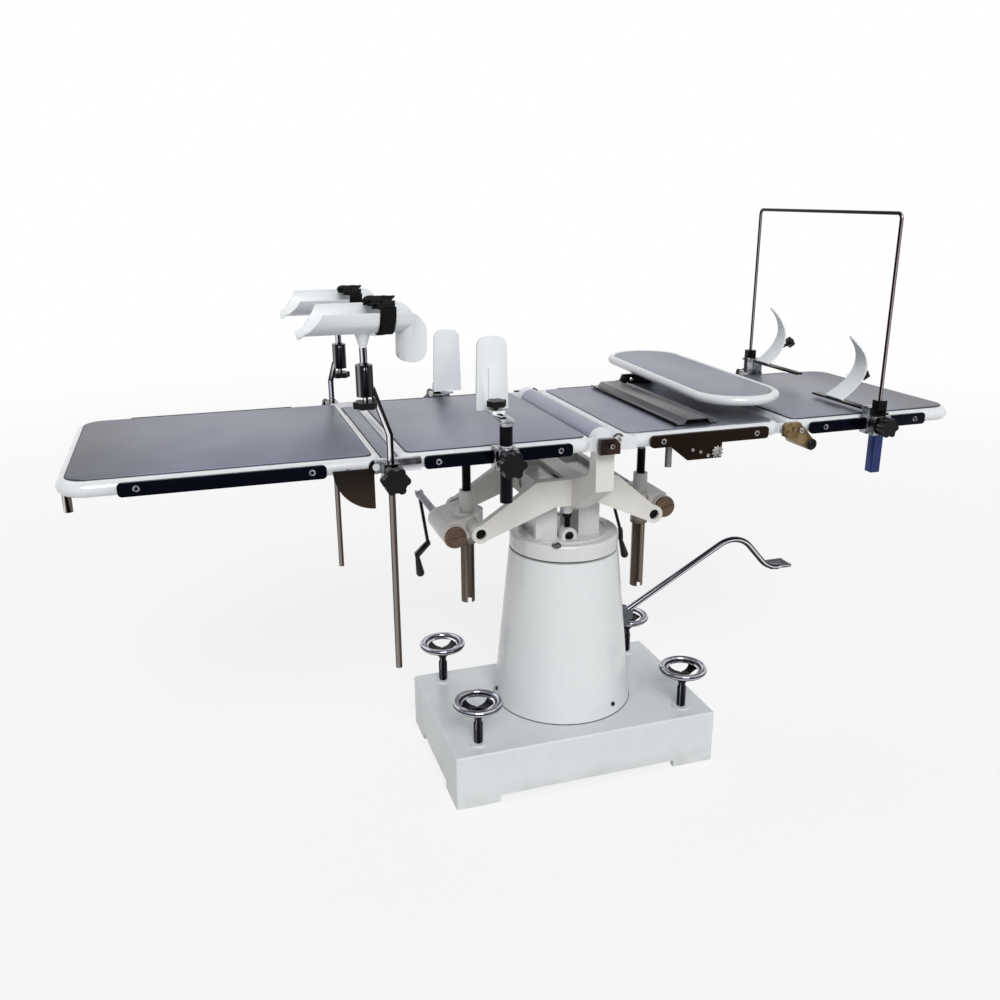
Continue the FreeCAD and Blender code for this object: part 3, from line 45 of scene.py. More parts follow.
# Studio: a plain pale floor that runs out to white, soft daylight from the front, and the camera
# at standing height off the foot end, turned a little to the right and looking down.
class Wire:
    """A value in a node tree: arithmetic adds Math nodes, and node() adds any other node."""

    def __init__(self, tree, socket=None):
        self.tree, self.socket = tree, socket

    def node(self, kind, inputs={}, settings={}, out=0):
        """Adds a node, the first word of its type being left off where it is ShaderNode or GeometryNode."""
        types = [word + kind for word in ("ShaderNode", "GeometryNode", "") if hasattr(bpy.types, word + kind)]
        made = self.tree.nodes.new(types[0])
        for name, value in settings.items():
            setattr(made, name, value)
        for name, value in inputs.items():
            if isinstance(value, Wire):
                self.tree.links.new(value.socket, made.inputs[name])
            else:
                made.inputs[name].default_value = value
        return Wire(self.tree, made.outputs[out] if len(made.outputs) else None)

    def other(self, out):
        return Wire(self.tree, self.socket.node.outputs[out])

    def maths(self, operation, *values):
        return self.node("Math", dict(enumerate((self,) + values)), {"operation": operation})

    __add__ = __radd__ = lambda self, value: self.maths("ADD", value)
    __mul__ = __rmul__ = lambda self, value: self.maths("MULTIPLY", value)
    __sub__ = lambda self, value: self.maths("SUBTRACT", value)
    __rsub__ = lambda self, value: self * -1 + value
    __truediv__ = lambda self, value: self.maths("DIVIDE", value)

    def between(self, low, high):
        """0 below low, 1 above high, eased between."""
        return self.node("MapRange", {0: self, 1: low, 2: high}, {"interpolation_type": "SMOOTHSTEP"})

    def cloud(self, scale, detail=3, rough=0.55):
        return self.node("TexNoise", {"Vector": self, "Scale": scale, "Detail": detail, "Roughness": rough})

    def stretch(self, *scale, turn=(0, 0, 0), shift=(0, 0, 0)):
        return self.node("Mapping", {"Vector": self, "Scale": scale, "Rotation": turn, "Location": shift})

    def axis(self, number):
        """One coordinate of a place."""
        return self.node("SeparateXYZ", {0: self}, out=number)

    def blend(self, *colours):
        """The first colour where this value is 0, the second where it is 1."""
        first, second = (rgb(c) if isinstance(c, str) else c for c in colours)
        return self.node("Mix", {0: self, 6: first, 7: second}, {"data_type": "RGBA"}, 2)

    def bands(self, stops):
        """A colour ramp over this value, from its (place, colour) stops."""
        ramp = self.node("ValToRGB", {"Fac": self})
        band = ramp.socket.node.color_ramp.elements
        for end, (where, colour) in zip(band, (stops[0], stops[-1])):
            end.position, end.color = where, rgb(colour)
        for where, colour in stops[1:-1]:
            band.new(where).color = rgb(colour)
        return ramp

    def join(self, *others):
        """This geometry and others as one."""
        made = self.tree.nodes.new("GeometryNodeJoinGeometry")
        for part in (self,) + others:
            self.tree.links.new(part.socket, made.inputs[0])
        return Wire(self.tree, made.outputs[0])


def rgb(code):
    """A colour written as six hex digits, in linear light."""
    parts = [int(code[i:i + 2], 16) / 255 for i in (0, 2, 4)]
    return tuple(c / 12.92 if c <= 0.04045 else ((c + 0.055) / 1.055) ** 2.4 for c in parts) + (1,)


def stand(name, data):
    """Puts a new object in the scene."""
    made = bpy.data.objects.new(name, data)
    bpy.context.scene.collection.objects.link(made)
    return made


def blank(holder):
    """Clears the nodes of a material or a world, and gives the tree to add to."""
    holder.use_nodes = True
    holder.node_tree.nodes.clear()
    return Wire(holder.node_tree)


def looked_at(tree):
    """1 for rays from the camera, mirrored or let through, and 0 for light that bounces softly."""
    seen = tree.node("LightPath")
    return seen.maths("MAXIMUM", seen.other(3)).maths("MAXIMUM", seen.other(6))


floor_half, fade_from, fade_to, white = 40, 2.2, 7.0, (1, 1, 1, 1)
floor_mesh = bpy.data.meshes.new("studio_floor")
floor_mesh.from_pydata([(x * floor_half, y * floor_half, 0) for x, y in ((-1, -1), (1, -1), (1, 1), (-1, 1))], [],
                       [(0, 1, 2, 3)])
floor = stand("studio_floor", floor_mesh)
floor_paper = bpy.data.materials.new("floor_paper")
where = blank(floor_paper).node("TexCoord", out=3)
far = where.node("VectorMath", {0: where}, {"operation": "LENGTH"}, 1).between(fade_from, fade_to)
card = where.node("BsdfDiffuse", {"Color": where.cloud(1.4, 4).blend("dededd", "d8d8d8")})
glow = where.node("Emission", {"Color": white, "Strength": 1.0})
share = looked_at(where) * (far * 0.22 + 0.78)
where.node("OutputMaterial", {"Surface": where.node("MixShader", {0: share, 1: card, 2: glow})})
floor_mesh.materials.append(floor_paper)

sky = bpy.data.worlds.new("studio_light")
bpy.context.scene.world = sky
daylight = looked_at(blank(sky)).blend((0.35, 0.355, 0.365, 1), white)
backdrop = daylight.node("Background", {"Color": daylight, "Strength": 1.0})
backdrop.node("OutputWorld", {"Surface": backdrop})

for lamp_name, strength, spread, direction in (
    ("window_front", 2.35, 30, (0.5, 3.0, -2.4)),
    ("fill_right", 0.2, 60, (-2.2, 1.6, -1.4)),
    ("top_back", 0.35, 50, (0.6, -1.8, -3.0)),
):
    lamp = bpy.data.lights.new(lamp_name, "SUN")
    lamp.energy, lamp.angle = strength, radians(spread)
    stand(lamp_name, lamp).rotation_euler = Vector(direction).to_track_quat("-Z", "Y").to_euler()

camera_spot = (-0.8065, -1.9892, 1.3248)
camera_yaw, camera_pitch, camera_roll = (radians(v) for v in (18.008, 17.816, -0.294))
lens = bpy.data.cameras.new("camera")
lens.sensor_width, lens.lens = 36, 34.199
camera = stand("camera", lens)
forward = Vector((sin(camera_yaw) * cos(camera_pitch), cos(camera_yaw) * cos(camera_pitch), -sin(camera_pitch)))
right = Vector((cos(camera_yaw), -sin(camera_yaw), 0))
up = right.cross(forward)
right, up = (right * cos(camera_roll) + up * sin(camera_roll), up * cos(camera_roll) - right * sin(camera_roll))
camera.matrix_world = Matrix.Translation(camera_spot) @ Matrix((right, up, -forward)).transposed().to_4x4()
bpy.context.scene.camera = camera
bpy.context.scene.view_settings.view_transform = "Standard"


# Plinth: one hollow iron casting on four corner feet, sprayed pale grey over filler, dusty near the floor.
# The cover stands on its raised ring with a dark sealing cord between them.
def begin(name):
    """A new finish, and the place on the object that its pattern reads."""
    made = bpy.data.materials.new(name)
    return made, blank(made).node("TexCoord", out=3)


def close(made, colour, rough, relief, deep, metal=0.0, more={}):
    """Ends a finish, its relief so many millimetres deep as bump."""
    tree = Wire(made.node_tree)
    bump = tree.node("Bump", {"Strength": 1.0, "Distance": deep * mm, "Height": relief})
    shader = tree.node("BsdfPrincipled", {
        "Base Color": colour, "Roughness": rough, "Metallic": metal, "Normal": bump, **more})
    tree.node("OutputMaterial", {"Surface": shader})
    return made


def enamel(name, colour, shade, gloss=0.22, peel=120, deep=0.12, coat=0.35, dusty=0.0, upper=None):
    """Sprayed stove enamel: slight orange peel, cloudy tone, pin specks and rub marks."""
    made, place = begin(name)
    tone = place.cloud(2.6, 5, 0.6).between(0.35, 0.7) * 0.5 + place.cloud(21, 5, 0.65).between(0.42, 0.75) * 0.3
    rubbed = place.stretch(30, 30, 5).cloud(9, 6, 0.75).between(0.62, 0.74)
    speck = place.cloud(330, 2, 0.5).between(0.73, 0.78)
    paint = (speck * 0.35).blend(tone.blend(colour, shade), "77736b")
    paint = (rubbed * 0.05).blend(paint, "a9a9a6")
    if dusty:
        low = (1 - place.axis(2).between(0.0, 0.06)) * place.cloud(14, 5, 0.7).between(0.3, 0.75) * dusty
        paint = low.blend(paint, "9c968a")
    # Where upper is given, the paint turns to a lighter colour above a height.
    if upper:
        low, high, top_colour = upper
        paint = place.axis(2).between(low, high).blend(paint, top_colour)
    return close(made, paint, place.cloud(13, 4).between(0.2, 0.8) * 0.14 + gloss,
                 place.cloud(peel, 3, 0.5) + speck * -0.4, deep,
                 more={"Coat Weight": place.cloud(6, 3) * -coat * 0.4 + coat, "Coat Roughness": 0.08})


def dull(name, colour, shade, cloud, rough, pores, deep, metal=0.0, more={}):
    """Rubber or moulded plastic, from noise sizes with their detail; rough adds its reach and its least."""
    made, place = begin(name)
    scale, detail, reach, least = rough
    return close(made, place.cloud(*cloud).blend(colour, shade), place.cloud(scale, detail) * reach + least,
                 place.cloud(*pores), deep, metal, more)


def dress(finish, *nodes):
    """Gives carried-over nodes their finish."""
    for node in nodes:
        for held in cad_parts[node].material_slots:
            held.material = finish


def fit(name, mesh, finish, body, slot, *nodes, smooth=35):
    """Stands a mesh on its body as a finished piece, in place of the nodes named."""
    mesh.materials.clear()
    mesh.materials.append(finish)
    mesh.shade_smooth()
    mesh.set_sharp_from_angle(angle=radians(smooth))
    made = stand(name, mesh)
    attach(made, body)
    if nodes:
        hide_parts(*nodes)


def mesh_of(shape):
    """A bmesh with its faces turned outwards, as a mesh."""
    bmesh.ops.recalc_face_normals(shape, faces=shape.faces)
    mesh = bpy.data.meshes.new("piece")
    shape.to_mesh(mesh)
    shape.free()
    return mesh


def at(x, y, z, along=None):
    """The move to a place in millimetres, turned to stand along a direction."""
    move = Matrix.Translation(Vector((x, y, z)) * mm)
    return move @ Vector(along).to_track_quat("Z", "Y").to_matrix().to_4x4() if along else move


def skin(shape, rows, closed=False, capped=False):
    """Covers rows of points with faces, back to the first row when closed and over both ends when capped."""
    for one, two in zip(rows, rows[1:] + rows[:closed]):
        for i in range(len(one)):
            j = (i + 1) % len(one)
            corners = list(dict.fromkeys((one[i], one[j], two[j], two[i])))
            if len(corners) > 2:
                shape.faces.new(corners)
    if capped:
        shape.faces.new(rows[-1])
        shape.faces.new(rows[0][::-1])
    return mesh_of(shape)


def turned(profile, foot, along=(0, 0, 1), sides=40):
    """A turned form: (radius, height) pairs in millimetres from foot along a direction."""
    shape, stand, rows = bmesh.new(), at(*foot, along), []
    for radius, height in profile:
        count = sides if radius else 1
        rows.append([shape.verts.new(stand @ Vector((radius * mm * cos(tau * i / sides),
                                                     radius * mm * sin(tau * i / sides), height * mm)))
                     for i in range(count)] * (sides // count))
    return skin(shape, rows)


def ring(centre, radius, thick, along=(0, 0, 1), sides=72, around=12):
    """A closed round ring."""
    shape, stand, hoops = bmesh.new(), at(*centre, along), []
    for i in range(sides):
        a = tau * i / sides
        hoops.append([])
        for b in (tau * k / around for k in range(around)):
            reach = radius + thick * cos(b)
            hoops[-1].append(shape.verts.new(stand @ Vector((
                reach * cos(a) * mm, reach * sin(a) * mm, thick * sin(b) * mm))))
    return skin(shape, hoops, closed=True)


dress(enamel("plinth_paint", "ced2d3", "c4c8ca", gloss=0.3, peel=95, deep=0.2, coat=0.25, dusty=0.5), "base_plinth")
seal_rubber = dull("seal_rubber", "26282a", "3a3c3e", (160, 4), (60, 3, 0.2, 0.55), (420, 2), 0.1)
cover_foot_radius, cover_foot_height = 168.6, 132.8
fit("cover_seal", ring((0, 0, cover_foot_height), cover_foot_radius, 1.3, sides=120), seal_rubber, "base",
    "black_plastic")


# Levelling wheels: a plated dished wheel with three openings on a screwed stem that turns in a plinth guide
# and pushes a rubber-shod foot to the floor.
def chrome(name, bright, dark, gloss=0.09, streak=(1, 1, 1), metal=1.0, grain=18):
    """Plated or bare polished steel: cloudy reflection, hairline rubs and finger dull spots."""
    made, place = begin(name)
    long = place.stretch(*streak)
    haze = long.cloud(grain, 4, 0.6).between(0.3, 0.72)
    spots = place.cloud(31, 5, 0.7).between(0.55, 0.75)
    hair = long.cloud(grain * 22, 2, 0.6)
    return close(made, haze.blend(bright, dark), spots * 0.12 + hair * 0.05 + gloss, hair + spots * 0.3, 0.03, metal)


def plated(name, stops, browner_below=None):
    """Bright plating: stops are the (place, colour) of its painted reflection, light and dark bands across the
    turned_to attribute.
    """
    made, place = begin(name)
    facing = place.node("Attribute", {}, {"attribute_name": "turned_to"}, 2)
    tone = (facing + place.cloud(7, 2) * 0.16 - 0.08).bands(stops)
    # Browner below a height, faded out where the faces turn most away.
    if browner_below:
        low, high, colour = browner_below
        below = 1 - place.axis(2).between(low, high)
        tone = (below * facing.between(0.12, 0.3) * 0.8).blend(tone, colour)
    spots = place.cloud(40, 5, 0.7).between(0.55, 0.75)
    return close(made, tone, spots * 0.12 + 0.1, place.cloud(500, 3), 0.02, 1.0)


def shone(mesh, way=(0.951, -0.309, 0)):
    """Writes into a mesh how far each point is turned to one way, which places the painted reflection bands of its
    plating.
    """
    turned_to = mesh.attributes.new("turned_to", "FLOAT", "POINT")
    for vert, value in zip(mesh.vertices, turned_to.data):
        value.value = vert.normal.dot(Vector(way)) * 0.5 + 0.5
    return mesh


def tree_with(name, counts, lengths, ways=()):
    """A geometry tree with its named inputs, and those inputs as wires."""
    tree = bpy.data.node_groups.new(name, "GeometryNodeTree")
    inputs = tree.interface
    for kind, labels in (("Geometry", ["Geometry"]), ("Int", counts), ("Float", lengths), ("Vector", ways),
                         ("Material", ["Finish"])):
        for label in labels:
            inputs.new_socket(label, in_out="INPUT", socket_type="NodeSocket" + kind)
    inputs.new_socket("Geometry", in_out="OUTPUT", socket_type="NodeSocketGeometry")
    entry = tree.nodes.new("NodeGroupInput")
    return tree, {socket.name: Wire(tree, socket) for socket in entry.outputs if socket.name}


def around(shape, count, axis, start=0.0):
    """A shape repeated round one axis."""
    points = shape.node("MeshLine", {"Count": count, "Offset": (0, 0, 0)})
    number = points.node("InputIndex")
    turn = number.node("CombineXYZ", {axis: number * tau / count + start})
    return points.node("InstanceOnPoints", {"Points": points, "Instance": shape, "Rotation": turn})


def end_tree(shape, size):
    """Closes a geometry tree with real geometry in its finish."""
    whole = shape.node("RealizeInstances", {0: shape})
    dressed = whole.node("SetMaterial", {"Geometry": whole, "Material": size["Finish"]})
    dressed.node("NodeGroupOutput", {0: dressed})


def run_tree(tree, seats=(), **sizes):
    """Runs a tree on loose points, they and its lengths in millimetres, and gives back the plain mesh."""
    start = bpy.data.meshes.new("seats")
    start.from_pydata([Vector(p) * mm for p in seats], [], [])
    holder = stand("seats", start)
    modifier = holder.modifiers.new("tree", "NODES")
    modifier.node_group = tree
    for item in tree.interface.items_tree:
        if item.in_out == "INPUT" and item.name in sizes:
            value = sizes[item.name]
            modifier[item.identifier] = value * mm if item.socket_type == "NodeSocketFloat" else value
    graph = bpy.context.evaluated_depsgraph_get()
    mesh = bpy.data.meshes.new_from_object(holder.evaluated_get(graph), depsgraph=graph)
    holder.modifiers.remove(modifier)
    bpy.data.objects.remove(holder)
    return mesh


def joined(*meshes):
    """Several meshes as one."""
    shape = bmesh.new()
    for mesh in meshes:
        shape.from_mesh(mesh)
    return mesh_of(shape)


spokes_tree, size = tree_with("wheel_spokes", ["Count"], ["Hub", "Rim", "Drop", "Wide", "Thick"])
span = size["Rim"] - size["Hub"]
sheet = span.node("MeshGrid", {"Size X": span, "Size Y": size["Wide"], "Vertices X": 9, "Vertices Y": 9})
spot = sheet.node("InputPosition")
out = (spot.axis(0) + span * 0.5) / span
waist = 1 - out * (1 - out) * 1.5
bowl = size["Drop"] * (out * out - 1)
spread = spot.axis(1) * waist * (out * 0.55 + 0.55)
moved = out.node("CombineXYZ", {0: spot.axis(0) + (size["Rim"] + size["Hub"]) * 0.5, 1: spread, 2: bowl})
dished = sheet.node("SetPosition", {"Geometry": sheet, "Position": moved})
solid = dished.node("ExtrudeMesh", {"Mesh": dished, "Offset Scale": size["Thick"], "Individual": False})
spoke = solid.join(dished.node("FlipFaces", {"Mesh": dished}))
spoke = spoke.node("MergeByDistance", {"Geometry": spoke, "Distance": 0.00002})
end_tree(around(spoke, size["Count"], 2, 0.35), size)

wheel_x, wheel_y, plinth_x, plinth_y = 258, 156, -12, -14
rim_height, rim_radius, rim_thick = 236, 49.5, 7.6
rim_reflection_bands = [(0.0, "0a0a0c"), (0.24, "34343a"), (0.4, "e4e4ea"), (0.5, "5a5a64"), (0.62, "0f0f12"), (0.8, "8e8e9c"),
             (0.9, "d8d8e0"), (1.0, "6a6a74")]
dark_reflection_bands = [(0.0, "060607"), (0.22, "111114"), (0.3, "8e8e94"), (0.38, "26262a"), (0.6, "09090a"), (0.8, "3c3c40"),
              (1.0, "060607")]
# The rim's light and dark bands run up its height: a painted reflection.
wheel_chrome, place = begin("wheel_chrome")
rise = (place.axis(2) - (rim_height - rim_thick) * mm) / (2 * rim_thick * mm)
close(wheel_chrome, (rise + place.cloud(24, 3) * 0.24 - 0.12).bands(rim_reflection_bands), place.cloud(60, 4) * 0.1 + 0.05,
      place.cloud(300, 3), 0.02, 1.0)
dish_chrome = chrome("dish_chrome", "2c2c31", "060607", gloss=0.08, grain=50)
# The dark plating's bands are a painted reflection: mostly dark, with one grey band.
dark_chrome = plated("dark_chrome", dark_reflection_bands)
foot_steel = chrome("foot_steel", "7d7c79", "4d4c4a", gloss=0.3, grain=40)
both_sides = (("near", -1), ("far", 1))
for side, way in both_sides:
    for end, end_way in (("left", -1), ("right", 1)):
        x, y, spot = plinth_x + end_way * wheel_x, plinth_y + way * wheel_y, side + "_" + end
        spokes = run_tree(spokes_tree, Count=3, Hub=9, Rim=rim_radius - 3, Drop=17, Wide=38, Thick=3,
                          Finish=dish_chrome)
        spokes.transform(at(x, y, rim_height - 1))
        shelf = [(rim_radius - drop, rim_height + rise) for drop, rise in (
            (1, 3), (8, 1.6), (14, -2.4), (14, -4), (2, -4), (1, 3))]
        wheel = joined(ring((x, y, rim_height), rim_radius, rim_thick, sides=56, around=16),
                       turned(shelf, (x, y, 0), sides=56))
        hub = turned([(0, 224.5), (5, 224), (8, 222.6), (8.6, 221), (13, 220), (14.5, 217), (14.5, 206), (12, 203),
                      (0, 203)], (x, y, 0))
        stem = turned([(0, 204), (9, 204), (10, 202), (8.6, 196), (8.6, 190), (10.6, 187), (10.9, 182), (10.9, 140),
                       (9.6, 137), (7, 136), (7, 34), (5.5, 32), (0, 32)], (x, y, 0))
        fit("levelling_rim_" + spot, wheel, wheel_chrome, "wheel_" + spot, "chrome", "handwheel_" + spot)
        fit("levelling_dish_" + spot, joined(spokes, hub), dish_chrome, "wheel_" + spot, "chrome")
        fit("levelling_stem_" + spot, shone(stem), dark_chrome, "wheel_" + spot, "chrome")
        dress(foot_steel, "levelling_foot_" + spot)


# Column cover: rolled and welded sheet cone, enamelled, held by three socket screws near its foot. Inside stand
# the cylinder with its bush, the ground ram and the pump.
dress(enamel("cover_paint", "d2d4d5", "cbcdce", gloss=0.24, peel=70, deep=0.18), "column_cover")
screws_tree, size = tree_with("socket_screws", [], ["Head", "High", "Key"], ["Facing"])
head = size["Head"].node("MeshCone", {
    "Vertices": 28, "Radius Top": size["Head"] * 0.84, "Radius Bottom": size["Head"], "Depth": size["High"]})
key = head.node("MeshCylinder", {"Vertices": 6, "Radius": size["Key"], "Depth": size["High"] * 4})
recess = head.node("MeshBoolean", {"Mesh 1": head, "Mesh 2": key}, {"operation": "DIFFERENCE"})
aimed = recess.node("FunctionNodeAlignRotationToVector", {"Vector": size["Facing"]}, {"axis": "Z"})
end_tree(recess.node("InstanceOnPoints", {"Points": size["Geometry"], "Instance": recess, "Rotation": aimed}), size)


def screws(name, seats, facing, head, high, key, finish, body, slot, *nodes):
    """Socket screws of one size on their seats, all facing one way."""
    mesh = run_tree(screws_tree, seats, Head=head, High=high, Key=key, Facing=facing, Finish=finish)
    fit(name, mesh, finish, body, slot, *nodes, smooth=25)


cover_screw_turns, cover_screw_height, cover_screw_reach = (56, 176, 296), 160, 166.6
black_screw = chrome("black_screw", "2a2b2d", "0d0d0e", gloss=0.25, metal=0.9, grain=60)
for number, a in enumerate(map(radians, cover_screw_turns)):
    seat = (cover_screw_reach * cos(a), cover_screw_reach * sin(a), cover_screw_height)
    screws("cover_screw_%d" % number, [seat], (cos(a), sin(a), 0.1), 5.6, 3.4, 3, black_screw, "base",
           "steel", "cover_screws")
ram_steel = chrome("ram_steel", "b9bbbd", "8c8f92", gloss=0.1, streak=(1, 1, 0.1), grain=50)
works_iron = enamel("works_iron", "4c5054", "3c4044", gloss=0.5, peel=220, deep=0.5, coat=0.0)
pump_steel = chrome("pump_steel", "8a8b8c", "5d5e5f", gloss=0.28, grain=60)
dress(ram_steel, "lift_ram")
dress(works_iron, "hydraulic_cylinder", "pump_body", "pedal_bracket")
dress(pump_steel, "pump_plunger")


# Pump pedal: a bent chromed rod on a pivot in the pump's bracket, with a pressed foot plate at its end that is
# ribbed against slipping.
def copy_of(node):
    """A node's mesh with its doubled points merged."""
    shape = bmesh.new()
    shape.from_mesh(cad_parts[node].data)
    bmesh.ops.remove_doubles(shape, verts=shape.verts, dist=2e-6)
    return shape


def softened(shape, soften):
    """A copied shape as a mesh, its sharp edges rounded by so many millimetres."""
    if soften:
        bmesh.ops.dissolve_limit(shape, angle_limit=radians(1), verts=shape.verts, edges=shape.edges)
        sharp = [e for e in shape.edges if len(e.link_faces) == 2 and e.calc_face_angle() > radians(40)]
        bmesh.ops.bevel(shape, geom=sharp, offset=soften * mm, segments=2, profile=0.6, affect="EDGES",
                        clamp_overlap=True)
    mesh = bpy.data.meshes.new("copy")
    shape.to_mesh(mesh)
    shape.free()
    for name in ("custom_normal", "sharp_face", "sharp_edge"):
        if name in mesh.attributes:
            mesh.attributes.remove(mesh.attributes[name])
    return mesh


def part_of(node, inside=None, soften=0):
    """A merged copy of a node's faces whose middle, in millimetres, passes the test."""
    shape = copy_of(node)
    if inside:
        left_out = [f for f in shape.faces if not inside(*(f.calc_center_median() / mm))]
        bmesh.ops.delete(shape, geom=left_out, context="FACES")
        loose = [v for v in shape.verts if not v.link_faces]
        bmesh.ops.delete(shape, geom=loose, context="VERTS")
    return softened(shape, soften)


# The pedal's white core and black edges are a painted reflection, banded by how far each face turns up.
pedal_reflection_bands = [(0.0, "08080a"), (0.3, "17171a"), (0.42, "5c5c64"), (0.5, "dedee2"), (0.6, "d2d2d8"), (0.66, "2a2a2e"),
               (0.85, "0c0c0e"), (1.0, "77777e")]
pedal_chrome = plated("pedal_chrome", pedal_reflection_bands)
fit("pedal_lever", shone(part_of("foot_pedal"), (0, 0, 1)), pedal_chrome, "pedal", "chrome", "foot_pedal")
ribs_tree, size = tree_with("plate_ribs", ["Count"], ["Long", "Wide", "Pitch"])
rib = size["Long"].node("MeshCylinder", {"Vertices": 10, "Radius": size["Wide"], "Depth": size["Long"]})
rib = rib.node("Transform", {"Geometry": rib, "Rotation": (pi / 2, 0, 0)})
pitch = rib.node("CombineXYZ", {0: size["Pitch"]})
row = rib.node("MeshLine", {"Count": size["Count"], "Offset": pitch})
end_tree(row.node("InstanceOnPoints", {"Points": row, "Instance": rib}), size)
tread = run_tree(ribs_tree, Count=7, Long=42, Wide=1.3, Pitch=7, Finish=pedal_chrome)
tread.transform(at(594, 18, 391.6))
fit("pedal_tread", shone(tread, (0, 0, 1)), pedal_chrome, "pedal", "chrome")


# Column cap: a round casting on top of the ram, with a turned ring, a plated plug, and two ears that carry the
# saddle's tilt axle. The tilt strut is a white stem with a black screwed end in an eye bolt.
dress(enamel("cap_paint", "cbcccb", "bcbebd", gloss=0.2, peel=80, deep=0.15, coat=0.4), "column_cap")
plug_chrome = chrome("plug_chrome", "c9c9cc", "08080a", gloss=0.1, grain=150)
plug = turned([(0, 4.4), (4.5, 4.2), (6.4, 3.2), (6.8, 0.6), (11, 0.4), (11.6, -1), (0, -1)], (-60.9, -108, 567),
              (-0.1, -0.3, 1), 24)
fit("cap_plug", plug, plug_chrome, "lift", "chrome")
dress(chrome("axle_steel", "a3a5a8", "55575a", gloss=0.16, grain=40), "tilt_axle")

thread_tree, size = tree_with("screw_thread", ["Rows"], ["Radius", "Deep", "Pitch", "Long"])
flat = size["Long"].node("MeshGrid", {"Size X": 1.0, "Size Y": 1.0, "Vertices X": 25, "Vertices Y": size["Rows"]})
spot = flat.node("InputPosition")
round_part, rise = spot.axis(0) + 0.5, (spot.axis(1) + 0.5) * size["Long"]
phase = (rise / size["Pitch"] - round_part).maths("FRACT")
ends = (rise.maths("MINIMUM", size["Long"] - rise) / size["Pitch"]).maths("MINIMUM", 1.0)
groove = (phase * 2 - 1).maths("ABSOLUTE").between(0.15, 0.85) * ends
radius, angle = size["Radius"] - size["Deep"] * groove, round_part * tau
moved = angle.node("CombineXYZ", {0: angle.maths("COSINE") * radius, 1: angle.maths("SINE") * radius, 2: rise})
wound = flat.node("SetPosition", {"Geometry": flat, "Position": moved})
lid = wound.node("MeshCircle", {"Vertices": 24, "Radius": size["Radius"]}, {"fill_type": "NGON"})
lift = lid.node("CombineXYZ", {2: size["Long"]})
whole = wound.join(lid, lid.node("Transform", {"Geometry": lid, "Translation": lift}))
end_tree(whole.node("MergeByDistance", {"Geometry": whole, "Distance": 0.00005}), size)


def thread(foot, long, radius, deep, pitch, finish):
    """A screwed rod standing up from foot."""
    mesh = run_tree(thread_tree, Radius=radius, Deep=deep, Pitch=pitch, Long=long, Rows=int(long / pitch * 6) + 1,
                    Finish=finish)
    mesh.transform(at(*foot))
    return joined(mesh)


stem_paint = enamel("stem_paint", "e2e3e3", "d3d5d6", gloss=0.25, peel=140, deep=0.15)
black_steel = chrome("black_steel", "1c1c1e", "08080a", gloss=0.26, metal=0.9, grain=50)
strut_x, strut_y = -17, -62
strut_stem = turned([(0, 690), (9, 690), (12, 687), (12, 630), (10, 626), (0, 626)], (strut_x, strut_y, 0))
fit("strut_stem", strut_stem, stem_paint, "strut", "white_enamel", "tilt_strut")
strut_nut = turned([(0, 628), (10, 628), (11.4, 626.5), (11.4, 618.6), (10, 617.2), (0, 617.2)],
                   (strut_x, strut_y, 0), sides=6)
fit("strut_screw", joined(thread((strut_x, strut_y, 528), 90, 7, 0.9, 2.6, black_steel), strut_nut), black_steel,
    "strut", "steel")
eye_bolt = turned([(0, 3.5), (5.5, 3.5), (7.5, 2.2), (7.5, 0), (10.5, 0), (10.5, -1), (0, -1)],
                  (strut_x, -77.2, 574), (0, -1, 0), 30)
fit("strut_eye_bolt", eye_bolt, black_steel, "lift", "steel")


# Saddle: a cream-painted casting with four slanted arms for the jack trunnions and two posts for the main hinge.
# The hinge bosses carry dark blocks with a bolt and washers, and a half-round steel strip covers the gap.
dress(enamel("saddle_paint", "d2d0cb", "c4c1ba", gloss=0.28, peel=90, deep=0.25, coat=0.3,
                      upper=(0.79, 0.84, "d8dadd")), "saddle_casting")


def brushed(name, colour, dark, gloss=0.3, metal=0.9, streak=(1.2, 160, 160), mark=0.0, shaded_end=None):
    """Rolled or brushed steel sheet: fine lines along one way, broad soft clouds, light scratches, and where
    shaded_end is given a painted shade darkening along x.
    """
    made, place = begin(name)
    lines = place.stretch(*streak).cloud(3.0, 5, 0.7)
    broad = place.stretch(1.6, 1.0, 1.0).cloud(2.4, 3, 0.5).between(0.3, 0.75)
    scratch = place.stretch(streak[0] * 3, streak[1] * 2.5, streak[2], turn=(0, 0, 0.07)).cloud(1.7, 4, 0.8)
    tone = (broad * 0.45 + lines * 0.4).blend(colour, dark)
    if mark:
        tone = (place.cloud(9, 5, 0.7).between(0.6, 0.8) * mark).blend(tone, "6d6f78")
    if shaded_end:
        start, end, shade = shaded_end
        tone = ((place.axis(0) - start) / (end - start)).between(0, 1).blend(tone, shade)
    return close(made, tone, lines * 0.16 + broad * 0.08 + gloss - 0.08, lines + scratch.between(0.6, 0.72) * 0.5,
                 0.05, metal)


